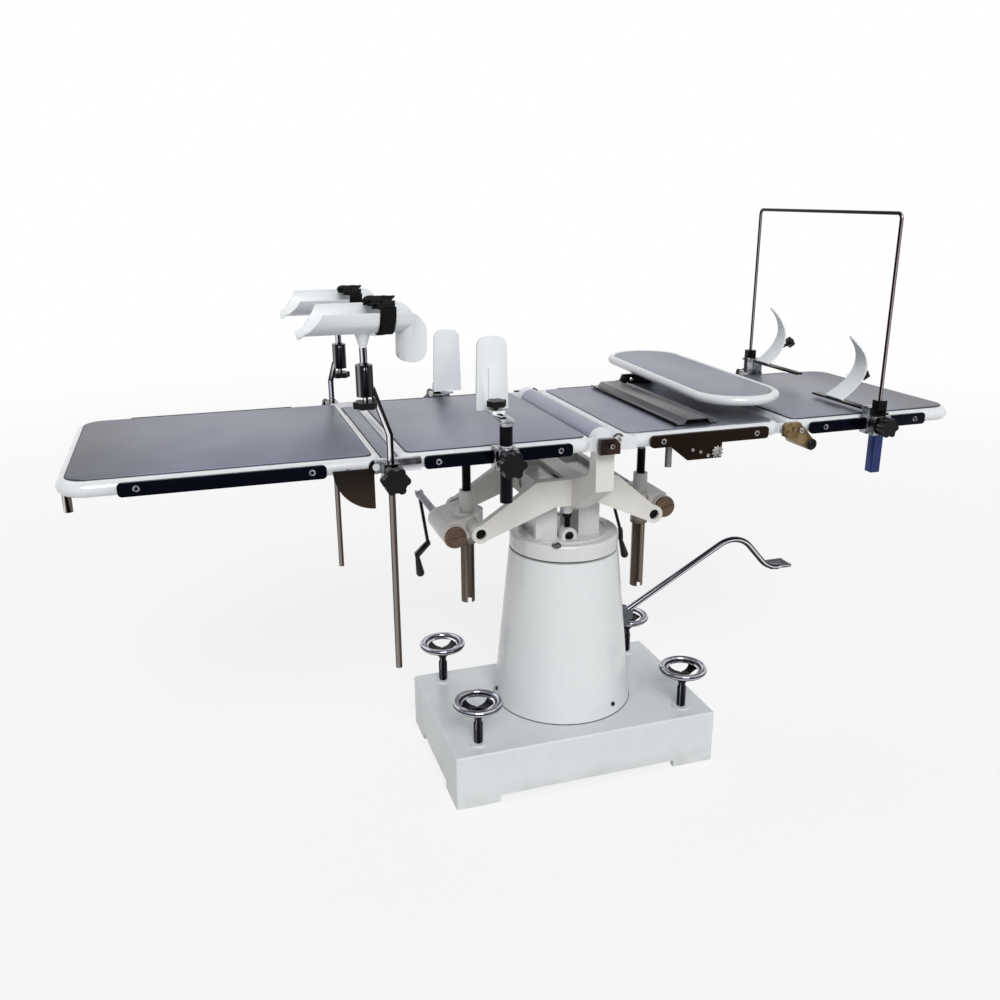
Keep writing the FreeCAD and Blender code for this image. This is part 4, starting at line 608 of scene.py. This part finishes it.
dress(brushed("gap_steel", "9799a8", "74778a", gloss=0.28, streak=(120, 1.4, 120)), "gap_cover")
dress(chrome("block_steel", "3c2c24", "17100d", gloss=0.22, metal=0.85, grain=26), "hinge_blocks")
bolt_chrome = chrome("bolt_chrome", "d4d2d0", "56524e", gloss=0.1, grain=60)
hinge_x, hinge_z, boss_face, washer_x, washer_z = -8, 835, 274.4, 14, 843
for side, way in both_sides:
    screws("hinge_bolt_" + side, [(hinge_x, way * boss_face, hinge_z)], (0, way, 0), 6.2, 4, 3, bolt_chrome, "saddle",
           "steel")
    washer = turned([(5, 258), (9.5, 258), (10, 257), (10, 254), (9.5, 253.4), (5, 253.4)],
                    (washer_x, 0, washer_z), (0, way, 0), 28)
    nut = turned([(0, 262), (5.5, 262), (6, 261), (6, 253), (0, 253)], (washer_x, 0, washer_z), (0, way, 0), 6)
    fit("hinge_washer_" + side, joined(washer, nut), bolt_chrome, "saddle", "steel")
    # A thin black ring round each washer stands in for the shadow line round it: painted shade.
    fit("hinge_shadow_ring_" + side, ring((washer_x, way * 254.6, washer_z), 12, 1.5, (0, way, 0)), black_steel, "saddle",
        "steel")


# Jacks: each hangs in the saddle arms on trunnions. A worm box with a turned steel sleeve drives a black screw
# up to the section; below hangs its brown stainless cover tube, and beside it the worm shaft with its crank.
def banded(name, colour, dark, warm):
    """Drawn stainless tube: lengthwise bands of light and dark, a painted reflection, and a faint heat colour."""
    made, place = begin(name)
    line = place.stretch(55, 55, 0.6).cloud(1.6, 3, 0.5)
    fine = place.stretch(600, 600, 5).cloud(1.5, 3, 0.7)
    heat = place.stretch(70, 70, 1.5, shift=(3, 1, 0)).cloud(1.1, 2).between(0.5, 0.7) * 0.5
    return close(made, heat.blend(line.between(0.38, 0.62).blend(colour, dark), warm), fine * 0.14 + 0.25, fine,
                 0.05, 0.9)


tube_brown = banded("tube_brown", "7d6f64", "2e2723", "93806f")
box_paint = enamel("jack_box_paint", "cbc9c6", "b9b6b1", gloss=0.3, peel=90, deep=0.25)
grip_black = dull("grip_black", "060607", "151516", (40, 4), (90, 3, 0.2, 0.2), (300, 3), 0.06,
                  more={"Specular IOR Level": 0.3})


def faced(name, centre, colour, dark):
    """A turned steel face: fine rings about its centre, looking along Y."""
    made, place = begin(name)
    dx, dz = place.axis(0) - centre[0] * mm, place.axis(2) - centre[1] * mm
    reach = (dx * dx + dz * dz).maths("SQRT")
    rings = (reach * 2400).maths("SINE") * 0.5 + 0.5
    wide = (reach * 800).maths("SINE") * 0.5 + 0.5
    stain = place.cloud(80, 4, 0.6)
    tone = (wide.between(0.3, 0.8) * 0.22 + stain * 0.6).blend(colour, dark)
    shaft = (place.axis(1) + 0.058).between(-0.001, 0.001)
    tone = shaft.blend(tone, stain.blend("6a6d77", "17181d"))
    return close(made, tone, stain * 0.2 + 0.22, rings + wide, 0.15, 0.85)


eye_height, ear_reach = 800, 94
jacks = (("left", -240, "left_screw", "saddle", -285, 597, 480, 578),
         ("right", 197, "right_screw", "right_jack", 232, 614, 447, 579))
for side, screw_x, screw_body, box_body, worm_x, worm_z, screw_low, tube_high in jacks:
    node, tube_end = side + "_jack_housing", tube_high - 0.5
    fit(side + "_jack_box", part_of(node, lambda x, y, z: z > tube_end and abs(y) < ear_reach), box_paint, box_body,
        "white_enamel", node)
    fit(side + "_trunnion_pins", part_of(node, lambda x, y, z: z > tube_end and abs(y) >= ear_reach), black_steel,
        box_body, "steel", node)
    fit(side + "_jack_tube", part_of(node, lambda x, y, z: z <= tube_end), tube_brown, box_body, "brown_steel", node)
    eye = turned([(0, -23), (5.9, -23), (5.9, -9), (13.5, -9), (14.4, -8), (14.4, 8), (13.5, 9), (5.9, 9), (5.9, 23),
                  (0, 23)], (screw_x, 0, eye_height), (0, 1, 0), 36)
    neck = turned([(0, 790), (10.4, 788), (10.4, 778), (12.8, 776), (13, 766), (10.5, 764), (0, 764)],
                  (screw_x, 0, 0), sides=30)
    screw = thread((screw_x, 0, screw_low), 300, 10.5, 1.2, 4, black_steel)
    fit(side + "_lift_screw", joined(screw, eye, neck), black_steel, screw_body, "steel", side + "_jack_screw")
    dress(faced(side + "_worm_face", (worm_x, worm_z), "74604f", "2c211b"), side + "_crank_shaft")


# Cranks: folding handles of round steel bar, bent and chromed, each with a turned black pear grip on its end. They
# sit on the outer ends of the worm shafts.
grip_long = 62
for side in ("left", "right"):
    node, body = side + "_crank", side + "_crank_body"
    grip_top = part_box(node)[0].z / mm + grip_long
    fit(side + "_crank_bar", shone(part_of(node, lambda x, y, z: z >= grip_top)), dark_chrome, body, "chrome", node)
    fit(side + "_crank_grip", part_of(node, lambda x, y, z: z < grip_top), grip_black, body, "black_plastic", node)


# Seat section: a white-enamelled tube frame with a brushed steel panel, a narrow panel by the leg hinge and a dark
# accessory rail each side, held by two countersunk socket screws.
tube_paint = enamel("tube_paint", "d3d5d8", "c8cbce", gloss=0.16, peel=110, deep=0.08, coat=0.5)
panel_steel = brushed("panel_steel", "8a8c9b", "6d6f7e", gloss=0.36, mark=0.25)
# The leg panel's steel is a darker copy of the panel steel, painted shade, and darkens further towards the foot end;
# the head panel's steel darkens towards the head end, also painted shade.
leg_steel_shaded = brushed("leg_steel_shaded", "787a8c", "5a5c6e", gloss=0.36, mark=0.25, shaded_end=(-0.8, -1.06, "50525c"))
head_steel_shaded = brushed("head_steel_shaded", "8c8e9b", "6f717f", gloss=0.36, mark=0.25, shaded_end=(0.62, 0.87, "5c5d66"))
edge_dark = dull("panel_edge_dark", "101222", "24283a", (50, 3), (80, 3, 0.2, 0.35), (300, 2), 0.05, 0.4)
rail_dark = brushed("rail_dark", "0f111d", "05050a", gloss=0.22, metal=1.0, streak=(1.5, 90, 60))
rail_brown = brushed("rail_brown", "2a201a", "110c09", gloss=0.24, metal=1.0, streak=(1.5, 90, 60))
screw_chrome = chrome("screw_chrome", "b9babf", "26262a", gloss=0.12, grain=160)


def loop(left, low, right, high, left_round, right_round, steps=10):
    """Points of a rectangle with rounded corners."""
    points = []
    for cx, cy, r, start in ((right - right_round, high - right_round, right_round, 0),
                             (left + left_round, high - left_round, left_round, 90),
                             (left + left_round, low + left_round, left_round, 180),
                             (right - right_round, low + right_round, right_round, 270)):
        for i in range(steps + 1):
            a = radians(start + 90 * i / steps)
            points.append((cx + r * cos(a), cy + r * sin(a)))
    return points


def panel_sheet(name, left, right, low, left_round, right_round, body, node, finish, half=242):
    """A steel panel with its edge turned down, and a dark line round it that is partly a sealing cord and partly
    painted shade for the gap at the edge.
    """
    shape, high, line_out, line_radius = bmesh.new(), low + panel_thick, 0.8, 1.5
    rows = [[shape.verts.new((x * mm, y * mm, z * mm)) for x, y in loop(
        left + inset, -half + inset, right - inset, half - inset, left_round - inset, right_round - inset)]
            for inset, z in ((0, low), (0, high - 0.9), (0.35, high - 0.25), (1.0, high))]
    fit(name, skin(shape, rows, capped=True), finish, body, "brushed_steel", node)
    # The dark line is partly a sealing cord and partly painted shade for the gap round the panel.
    seal, hoops = bmesh.new(), []
    outline = loop(left - line_out, -half - line_out, right + line_out, half + line_out, left_round + line_out,
                   right_round + line_out, 14)
    for i, (x, y) in enumerate(outline):
        (x0, y0), (x1, y1) = outline[i - 1], outline[(i + 1) % len(outline)]
        away = Vector((y1 - y0, x0 - x1, 0)).normalized()
        hoops.append([seal.verts.new(Vector((x, y, low + 0.7)) * mm + (
            away * cos(a) + Vector((0, 0, 1)) * sin(a)) * line_radius * mm)
            for a in (tau * k / 8 for k in range(8))])
    fit(name + "_edge", skin(seal, hoops, closed=True), edge_dark, body, "dark_rail")


panel_low, panel_thick, rail_face = 850, 2.5, 272.55
dress(tube_paint, "seat_frame")
panel_sheet("seat_sheet", -428, -56, panel_low, 13, 13, "seat", "seat_panel", panel_steel)
panel_sheet("link_sheet", -477, -447, 842.5, 3, 3, "seat", "seat_panel", panel_steel, half=239)


def rail(section, finish, screw_places, slot="dark_rail"):
    """Both rails of a section with their screws."""
    node = section + "_rails"
    for side, way in both_sides:
        fit("%s_rail_%s" % (section, side), part_of(node, lambda x, y, z: y * way > 0, soften=1.1), finish, section,
            slot, node)
        seats = [(x, way * rail_face, z) for x, z in screw_places]
        screws("%s_rail_screws_%s" % (section, side), seats, (0, way, 0), 7.2, 1.6, 3.4, screw_chrome, section,
               "chrome")


rail("seat", rail_dark, ((-372, 835), (-119, 835)))


# Leg section: a longer tube frame with two chromed pegs below its corners, its panel and rails, and a dark locking
# quadrant each side of the hinge.
# The pegs' light and dark bands are a painted reflection.
peg_reflection_bands = [(0.0, "0a0807"), (0.2, "1a1411"), (0.3, "eae6e3"), (0.44, "a39a94"), (0.52, "1c1613"),
              (0.74, "0c0908"), (0.86, "6d635d"), (1.0, "0d0a09")]
peg_chrome = plated("peg_chrome", peg_reflection_bands)
peg_top, peg_x = 819.4, -1000
fit("leg_tube_frame", part_of("leg_frame", lambda x, y, z: z > peg_top or x > peg_x), tube_paint, "leg",
    "white_enamel", "leg_frame")
fit("leg_pegs", shone(part_of("leg_frame", lambda x, y, z: z <= peg_top and x <= peg_x)), peg_chrome, "leg",
    "chrome", "leg_frame")
panel_sheet("leg_sheet", -1041, -497, panel_low, 39, 13, "leg", "leg_panel", leg_steel_shaded)
rail("leg", rail_dark, ((-921, 836), (-614, 836)))
quadrant_dark, place = begin("quadrant_dark")
tone = (1 - place.axis(2).between(0.755, 0.84)) * 0.8 + place.cloud(14, 4) * 0.25
eye = (place.axis(0) + 0.497).between(-0.001, 0.001)
close(quadrant_dark, eye.blend(tone.blend("090707", "32261e"), rgb("b4b6ba")),
      place.stretch(2, 2, 40).cloud(6, 4) * 0.2 + 0.18, place.cloud(240, 2), 0.05, 0.8)
fit("quadrant_plates", part_of("leg_quadrants", soften=0.8), quadrant_dark, "leg", "dark_brown", "leg_quadrants")


# Back section: tube frame and panel, a brown rail whose near plate carries the ratchet of the bridge, and the
# kidney bridge, a bent steel plate on two posts raised by pinions on a spindle.
dress(tube_paint, "back_frame")
dress(panel_steel, "back_panel")
rail("back", rail_brown, ((110, 835), (332, 835)), "dark_brown")
bridge_steel = brushed("bridge_steel", "545558", "232427", gloss=0.2, streak=(160, 1.2, 160))
fit("bridge_plate", part_of("kidney_bridge", lambda x, y, z: z > 852, soften=0.7), bridge_steel, "bridge",
    "brushed_steel", "kidney_bridge")
fit("bridge_posts", part_of("kidney_bridge", lambda x, y, z: z <= 852), pump_steel, "bridge", "steel", "kidney_bridge")
dress(pump_steel, "kidney_spindle")
teeth_tree, size = tree_with("ratchet_teeth", ["Count"], ["Radius", "Tooth", "Wide"])
tooth = size["Tooth"].node("MeshCone", {"Vertices": 4, "Radius Top": size["Tooth"] * 0.35,
                                                    "Radius Bottom": size["Tooth"], "Depth": size["Tooth"] * 1.6})
rise = tooth.node("CombineXYZ", {2: size["Radius"]})
tooth = tooth.node("Transform", {"Geometry": tooth, "Translation": rise})
hub = tooth.node("MeshCylinder", {"Vertices": 32, "Radius": size["Radius"], "Depth": size["Wide"]})
hub = hub.node("Transform", {"Geometry": hub, "Rotation": (pi / 2, 0, 0)})
end_tree(around(tooth, size["Count"], 1).join(hub), size)
ratchet = run_tree(teeth_tree, Count=10, Radius=9, Tooth=3, Wide=5, Finish=bolt_chrome)
spindle_x, spindle_z, plate_face = 236.3, 803, -274.6
ratchet.transform(at(spindle_x, plate_face - 2, spindle_z))
fit("spindle_ratchet", ratchet, bolt_chrome, "spindle", "steel", smooth=25)
screws("ratchet_studs", [(x, plate_face, z) for x, z in ((196, 806), (214, 797), (177, 812))], (0, -1, 0), 4, 3, 1.8,
       bolt_chrome, "back", "steel")


# Head section: a short tube frame with its panel and rails, hung on two brass-brown friction blocks that are held
# by cross bolts.
dress(tube_paint, "head_frame")
panel_sheet("head_sheet", 440, 859, panel_low, 13, 39, "head", "head_panel", head_steel_shaded)
rail("head", rail_dark, ((506, 835), (744, 835)))
friction_brass = chrome("friction_brass", "8a7655", "43341f", gloss=0.24, metal=0.85, grain=40)
fit("friction_blocks", part_of("head_hinge_blocks", soften=0.8), friction_brass, "head", "brass_brown",
    "head_hinge_blocks")
bolt_x, bolt_z, block_face, cap_x, cap_z = 440, 833, 277.4, 471, 799
for side, way in both_sides:
    screws("friction_bolt_" + side, [(bolt_x, way * block_face, bolt_z)], (0, way, 0), 6, 3, 3, bolt_chrome, "head",
           "steel")
    cap = turned([(0, 280), (8, 280), (9, 279), (11.5, 278.4), (12, 277), (12, 274), (0, 274)], (cap_x, 0, cap_z),
                 (0, way, 0), 30)
    fit("friction_cap_" + side, cap, black_steel, "head", "steel")


# Leg holders: rail sockets with black star knobs, cranked poles of chromed rod, their dark and bright bands a painted
# reflection, clamp barrels with a knob, and moulded white crutches with black webbing straps.
def solids_of(node, test, soften=0):
    """A merged copy of a node's separate solids whose middle and size, in millimetres, pass the test."""
    shape = copy_of(node)
    waiting, left_out = set(shape.verts), []
    while waiting:
        reach = [waiting.pop()]
        for vert in reach:
            near = {edge.other_vert(vert) for edge in vert.link_edges} & waiting
            waiting -= near
            reach.extend(near)
        low = Vector([min(v.co[i] for v in reach) for i in range(3)]) / mm
        high = Vector([max(v.co[i] for v in reach) for i in range(3)]) / mm
        if not test((low + high) / 2, high - low):
            left_out.extend(reach)
    bmesh.ops.delete(shape, geom=left_out, context="VERTS")
    return softened(shape, soften)


knob_black = dull("knob_black", "020202", "08080a", (30, 4), (70, 4, 0.25, 0.2), (260, 3), 0.12,
                  more={"Specular IOR Level": 0.18})
socket_chrome = chrome("socket_chrome", "55565c", "08080a", gloss=0.1, grain=60)
socket_reach, pole_reach = 312, 293
fit("holder_sockets", solids_of("leg_holder_sockets", lambda c, s: abs(c.y) < socket_reach, 0.8), socket_chrome,
    "seat", "chrome", "leg_holder_sockets")
fit("holder_knobs", solids_of("leg_holder_sockets", lambda c, s: abs(c.y) >= socket_reach), knob_black, "seat",
    "black_plastic", "leg_holder_sockets", smooth=40)
# The poles' and necks' light and dark bands are a painted reflection.
pole_reflection_bands = [(0.0, "060606"), (0.22, "0c0c0d"), (0.3, "f8f8fa"), (0.6, "dcdce0"), (0.66, "1a1a1c"), (1.0, "060606")]
neck_reflection_bands = [(0.0, "08080a"), (0.2, "2c2c31"), (0.3, "f0f0f4"), (0.46, "b9b9c0"), (0.52, "202024"), (0.72, "0a0a0c"),
              (0.84, "9a9aa2"), (1.0, "101012")]
pole_chrome = plated("pole_chrome", pole_reflection_bands, browner_below=(0.78, 0.84, "54443a"))
neck_chrome = plated("neck_chrome", neck_reflection_bands)
crutch_white, place = begin("crutch_white")
close(crutch_white, place.cloud(5, 4).between(0.35, 0.7).blend("dcdfe0", "cfd3d6"), place.cloud(22, 4) * 0.14 + 0.3,
      place.cloud(150, 4), 0.12, more={"Coat Weight": place.cloud(11, 3) * 0.35})
webbing, place = begin("webbing")
weft = (place.axis(0) * 5200).maths("SINE") * 0.5 + 0.5
warp = ((place.axis(1) + place.axis(2) * 0.8) * 3600).maths("SINE") * 0.5 + 0.5
weave = weft * 0.55 + warp * 0.45
close(webbing, (weave * 0.6 + place.cloud(60, 3) * 0.4).blend("020202", "0b0b0c"), weave * 0.2 + 0.5, weave, 0.5,
      more={"Specular IOR Level": 0.12})


def neck_of(mesh, height, x, wanted):
    """Cuts a crutch at the foot of its cone: the round neck near x when wanted, or all the rest."""
    shape = bmesh.new()
    shape.from_mesh(mesh)
    bmesh.ops.bisect_plane(shape, geom=shape.verts[:] + shape.edges[:] + shape.faces[:], plane_co=(0, 0, height * mm),
                           plane_no=(0, 0, 1))
    spare = []
    for face in shape.faces:
        middle = face.calc_center_median() / mm
        if (middle.z < height and abs(middle.x - x) < 30) != wanted:
            spare.append(face)
    bmesh.ops.delete(shape, geom=spare, context="FACES")
    return mesh_of(shape)


def ribbon(places, closed, thick=2.6):
    """A strap: each place gives its middle, its way out and its half width in millimetres."""
    shape = bmesh.new()
    section = ((-1, 0), (-0.95, thick), (-0.4, thick * 1.3), (0.3, thick * 0.9), (0.95, thick), (1, 0), (0, -0.2))
    rows = [[shape.verts.new((middle + Vector((side * half, 0, 0)) + out * rise) * mm) for side, rise in section]
            for middle, out, half in places]
    return skin(shape, rows, closed, capped=not closed)


def strapping(x, y, z, radius=52.8, lip=-5, arch=7):
    """A strap round the trough, crumpled where it crosses over from lip to lip, with a second fold on top."""
    folds, count = [], 150
    for fold in range(3):
        places = []
        for a in (tau * k / count for k in range(count)):
            across, high, top = radius * sin(a), -radius * cos(a), 0
            if high > lip:
                top, high = abs(cos(a)), lip + arch * cos(a) ** 2
            if fold and top < 0.12:
                continue
            creases = (3 * sin(9 * a + 2 * fold) + 2 * sin(23 * a + fold) + 1.2 * sin(47 * a)) * top
            middle = Vector((x - top * (9 + 9 * (fold == 1) - 12 * (fold == 2)) + creases * 0.8, y + across,
                             z + high + creases + (fold > 0) * 4 * top))
            out = Vector((0, sin(a), -cos(a))) if not top else Vector((0, 0.4 * sin(a), 1)).normalized()
            half = 14.5 + top * (4 + 3 * sin(13 * a + 2 * fold)) - 6 * (fold > 0)
            places.append((middle, out, half))
        folds.append(ribbon(places, fold == 0))
    return joined(*folds)


for side, barrel_x, barrel_low, cone_low, strap_x, axis_y, axis_z in (
    ("near", -512, 977, 1066, -473.5, -293, 1142), ("far", -468, 930, 1040, -429.5, 293, 1110),
):
    node, body = "leg_pole_" + side, "pole_" + side

    def is_knob(x, y, z):
        return barrel_low - 24 < z < barrel_low - 8 and hypot(x - barrel_x, abs(y) - pole_reach) > 7.3

    def is_barrel(x, y, z):
        return z > barrel_low - 0.5

    def is_rod(x, y, z):
        return not is_knob(x, y, z) and not is_barrel(x, y, z)

    fit("leg_pole_rod_" + side, shone(part_of(node, is_rod)), pole_chrome, body, "chrome", node)
    fit("leg_pole_barrel_" + side, shone(part_of(node, is_barrel)), dark_chrome, body, "chrome", node)
    fit("leg_pole_knob_" + side, part_of(node, is_knob), knob_black, body, "black_plastic", node)
    node, body = "leg_crutch_" + side, "crutch_" + side
    whole = solids_of(node, lambda c, s: s.x > 100)
    shell, neck = (neck_of(whole, cone_low, barrel_x, wanted) for wanted in (False, True))
    fit("crutch_shell_" + side, shell, crutch_white, body, "white_plastic", node, smooth=50)
    fit("crutch_neck_" + side, shone(neck), neck_chrome, body, "chrome", node, smooth=50)
    fit("crutch_strap_" + side, strapping(strap_x, axis_y, axis_z), webbing, body, "black_plastic", node, smooth=70)


# Side supports: a rail clamp with a star knob, a square post, a slotted arm, and a moulded white paddle held by a
# thumb knob.
clamp_steel = chrome("clamp_steel", "b4b6ba", "3a3b40", gloss=0.16, grain=60)
arm_chrome = chrome("arm_chrome", "eeeff2", "6a6c72", gloss=0.1, grain=26)
post_black = chrome("post_black", "18181c", "060608", gloss=0.16, metal=0.95, streak=(2, 2, 0.4), grain=30)
post_reach = 290
for side, way, collar_top in (("near", -1, 908), ("far", 1, 870)):
    node, body = "side_support_" + side, "side_" + side
    post_x = (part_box(node)[0].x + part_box(node)[1].x) / 2 / mm
    collar = [(13.2, -8), (14.4, -7.4), (14.8, -6), (14.8, -2), (14.4, -0.8), (13.2, -0.2), (13.2, -8)]
    collars = joined(*[turned(collar, (post_x, way * post_reach, collar_top - drop), sides=36) for drop in (0, 46)])
    fit("side_clamp_" + side, solids_of(node, lambda c, s: s.y > 40 and s.z < 45 and abs(c.y) > 280, 0.7),
        clamp_steel, body, "chrome", node)
    fit("side_post_" + side, solids_of(node, lambda c, s: s.z > 100 and s.x < 30, 1.0), post_black, body, "chrome",
        node)
    fit("side_collars_" + side, collars, arm_chrome, body, "chrome")
    fit("side_arm_" + side, solids_of(node, lambda c, s: s.z < 10, 0.8), arm_chrome, body, "chrome", node)
    fit("side_paddle_" + side, solids_of(node, lambda c, s: s.z > 100 and s.x > 50, 1.5), crutch_white, body,
        "white_plastic", node)
    knobs = solids_of(node, lambda c, s: s.x > 35 and s.z < 60 and (abs(c.y) > 310 or abs(c.y) < 235))
    fit("side_knobs_" + side, knobs, knob_black, body, "black_plastic", node, smooth=40)

# Arm board: a steel-topped board in a white round rim, on a black swivel bracket that grips the back section's far
# rail and has a plated bolt.
fit("board_top", solids_of("arm_board", lambda c, s: s.x < 205), panel_steel, "board", "brushed_steel", "arm_board")
fit("board_rim", solids_of("arm_board", lambda c, s: s.x >= 205), tube_paint, "board", "white_enamel", "arm_board")
fit("board_bracket", part_of("arm_board_bracket", soften=0.6), black_steel, "back", "steel", "arm_board_bracket")
bolt = turned([(0, 4), (3, 3.6), (5, 2), (5.4, 0), (5.4, -4), (0, -4)], (290, 260, 861), (0, -1, 0), 20)
fit("bracket_bolt", bolt, arm_chrome, "back", "steel")


# Head end: rail clamps with star knobs hold the square posts, blue-dark on the near side, and the bent wire of the
# anaesthetist's screen; two flat bars carry the curved white shoulder supports.
blue_steel, place = begin("blue_steel")
stain = place.stretch(2, 2, 0.4).cloud(30, 4, 0.6)
tone = place.axis(2).between(0.818, 0.823).blend(stain.blend("3a4880", "1a2244"), rgb("0c0c0f"))
close(blue_steel, tone, stain * 0.15 + 0.16, place.cloud(300, 3), 0.04, 0.85)
# The wire's light and dark bands are a painted reflection.
wire_reflection_bands = [(0.0, "070606"), (0.3, "17120f"), (0.42, "877c79"), (0.54, "b9b0ad"), (0.62, "41373a"), (0.78, "100c0c"),
              (1.0, "070606")]
wire_chrome = plated("wire_chrome", wire_reflection_bands)
node = "head_clamps"
fit("head_clamps", solids_of(node, lambda c, s: s.y > 50, 0.7), clamp_steel, "screen", "chrome", node)
fit("head_knobs", solids_of(node, lambda c, s: 25 < s.y <= 50), knob_black, "screen", "black_plastic", node, smooth=40)
for side, way, finish in (("near", -1, blue_steel), ("far", 1, post_black)):
    fit("head_post_" + side, solids_of(node, lambda c, s: s.z > 100 and c.y * way > 0, 1.0), finish, "screen", "steel",
        node)
fit("screen_wire", shone(part_of("screen_frame")), wire_chrome, "screen", "chrome", "screen_frame")
knee, steps, bar_thick = 0.45, 36, 5.5
shell_section = ((-1, 2.6), (-0.97, 4.4), (-0.5, 5.6), (0, 6), (0.5, 5.6), (0.97, 4.4), (1, 2.6), (0.97, 0.8),
                 (0.5, 0.6), (0, 0.6), (-0.5, 0.6), (-0.97, 0.8))
for side, x, y, z, outline in (
    ("near", 628, -140, 860, ((0, -2, 33), (0.25, -11, 27), (0.5, -13, 24), (0.75, -9, 16), (1, 0, 3))),
    ("far", 664, 214, 884, ((0, 0, 30), (0.25, 2, 26), (0.5, 9, 19), (0.75, 18, 12), (1, 27, 3))),
):
    node, body = "shoulder_support_" + side, "shoulder_" + side
    foot, belly, tip = Vector((x - 8, z + 5)), Vector((x + 50, z + 70.25)), Vector((x + 24, z + 150))
    shell, rows = bmesh.new(), []
    for t in (k / steps for k in range(steps + 1)):
        spot = max(i for i in range(4) if outline[i][0] <= t)
        (t0, shift0, half0), (t1, shift1, half1) = outline[spot], outline[spot + 1]
        part = (t - t0) / (t1 - t0)
        shift, half = shift0 + (shift1 - shift0) * part, half0 + (half1 - half0) * part
        bend = (foot * ((1 - t / knee) * (1 - t)) + belly * (t / knee * (1 - t) / (1 - knee))
                + tip * (t * (t - knee) / (1 - knee)))
        slope = (foot * (2 * t - 1 - knee) / knee + belly * (1 - 2 * t) / (knee * (1 - knee))
                 + tip * (2 * t - knee) / (1 - knee))
        out = Vector((slope.y, -slope.x)).normalized()
        rows.append([shell.verts.new(Vector((bend.x - out.x * deep, y + shift + half * u, bend.y - out.y * deep)) * mm)
                     for u, deep in shell_section])
    fit("shoulder_shell_" + side, skin(shell, rows, capped=True), crutch_white, body, "white_plastic", node, smooth=50)
    fit("shoulder_bar_" + side, part_of(node, lambda px, py, pz: pz < z + bar_thick, 0.6), black_steel, body, "steel",
        node)
    knob = part_of(node, lambda px, py, pz: hypot(px - x - 56, py - y, pz - z - 49) < 15)
    knob.transform(at(x + 66, y, z + 55) @ Matrix.Scale(1.3, 4) @ at(-x - 56, -y, -z - 49))
    stud = turned([(0, 0), (2.8, 0), (2.8, 36), (0, 36)], (x + 36, y, z + 39), (26, 0, 14), 16)
    fit("shoulder_knob_" + side, joined(knob, stud), knob_black, body, "black_plastic", node, smooth=40)
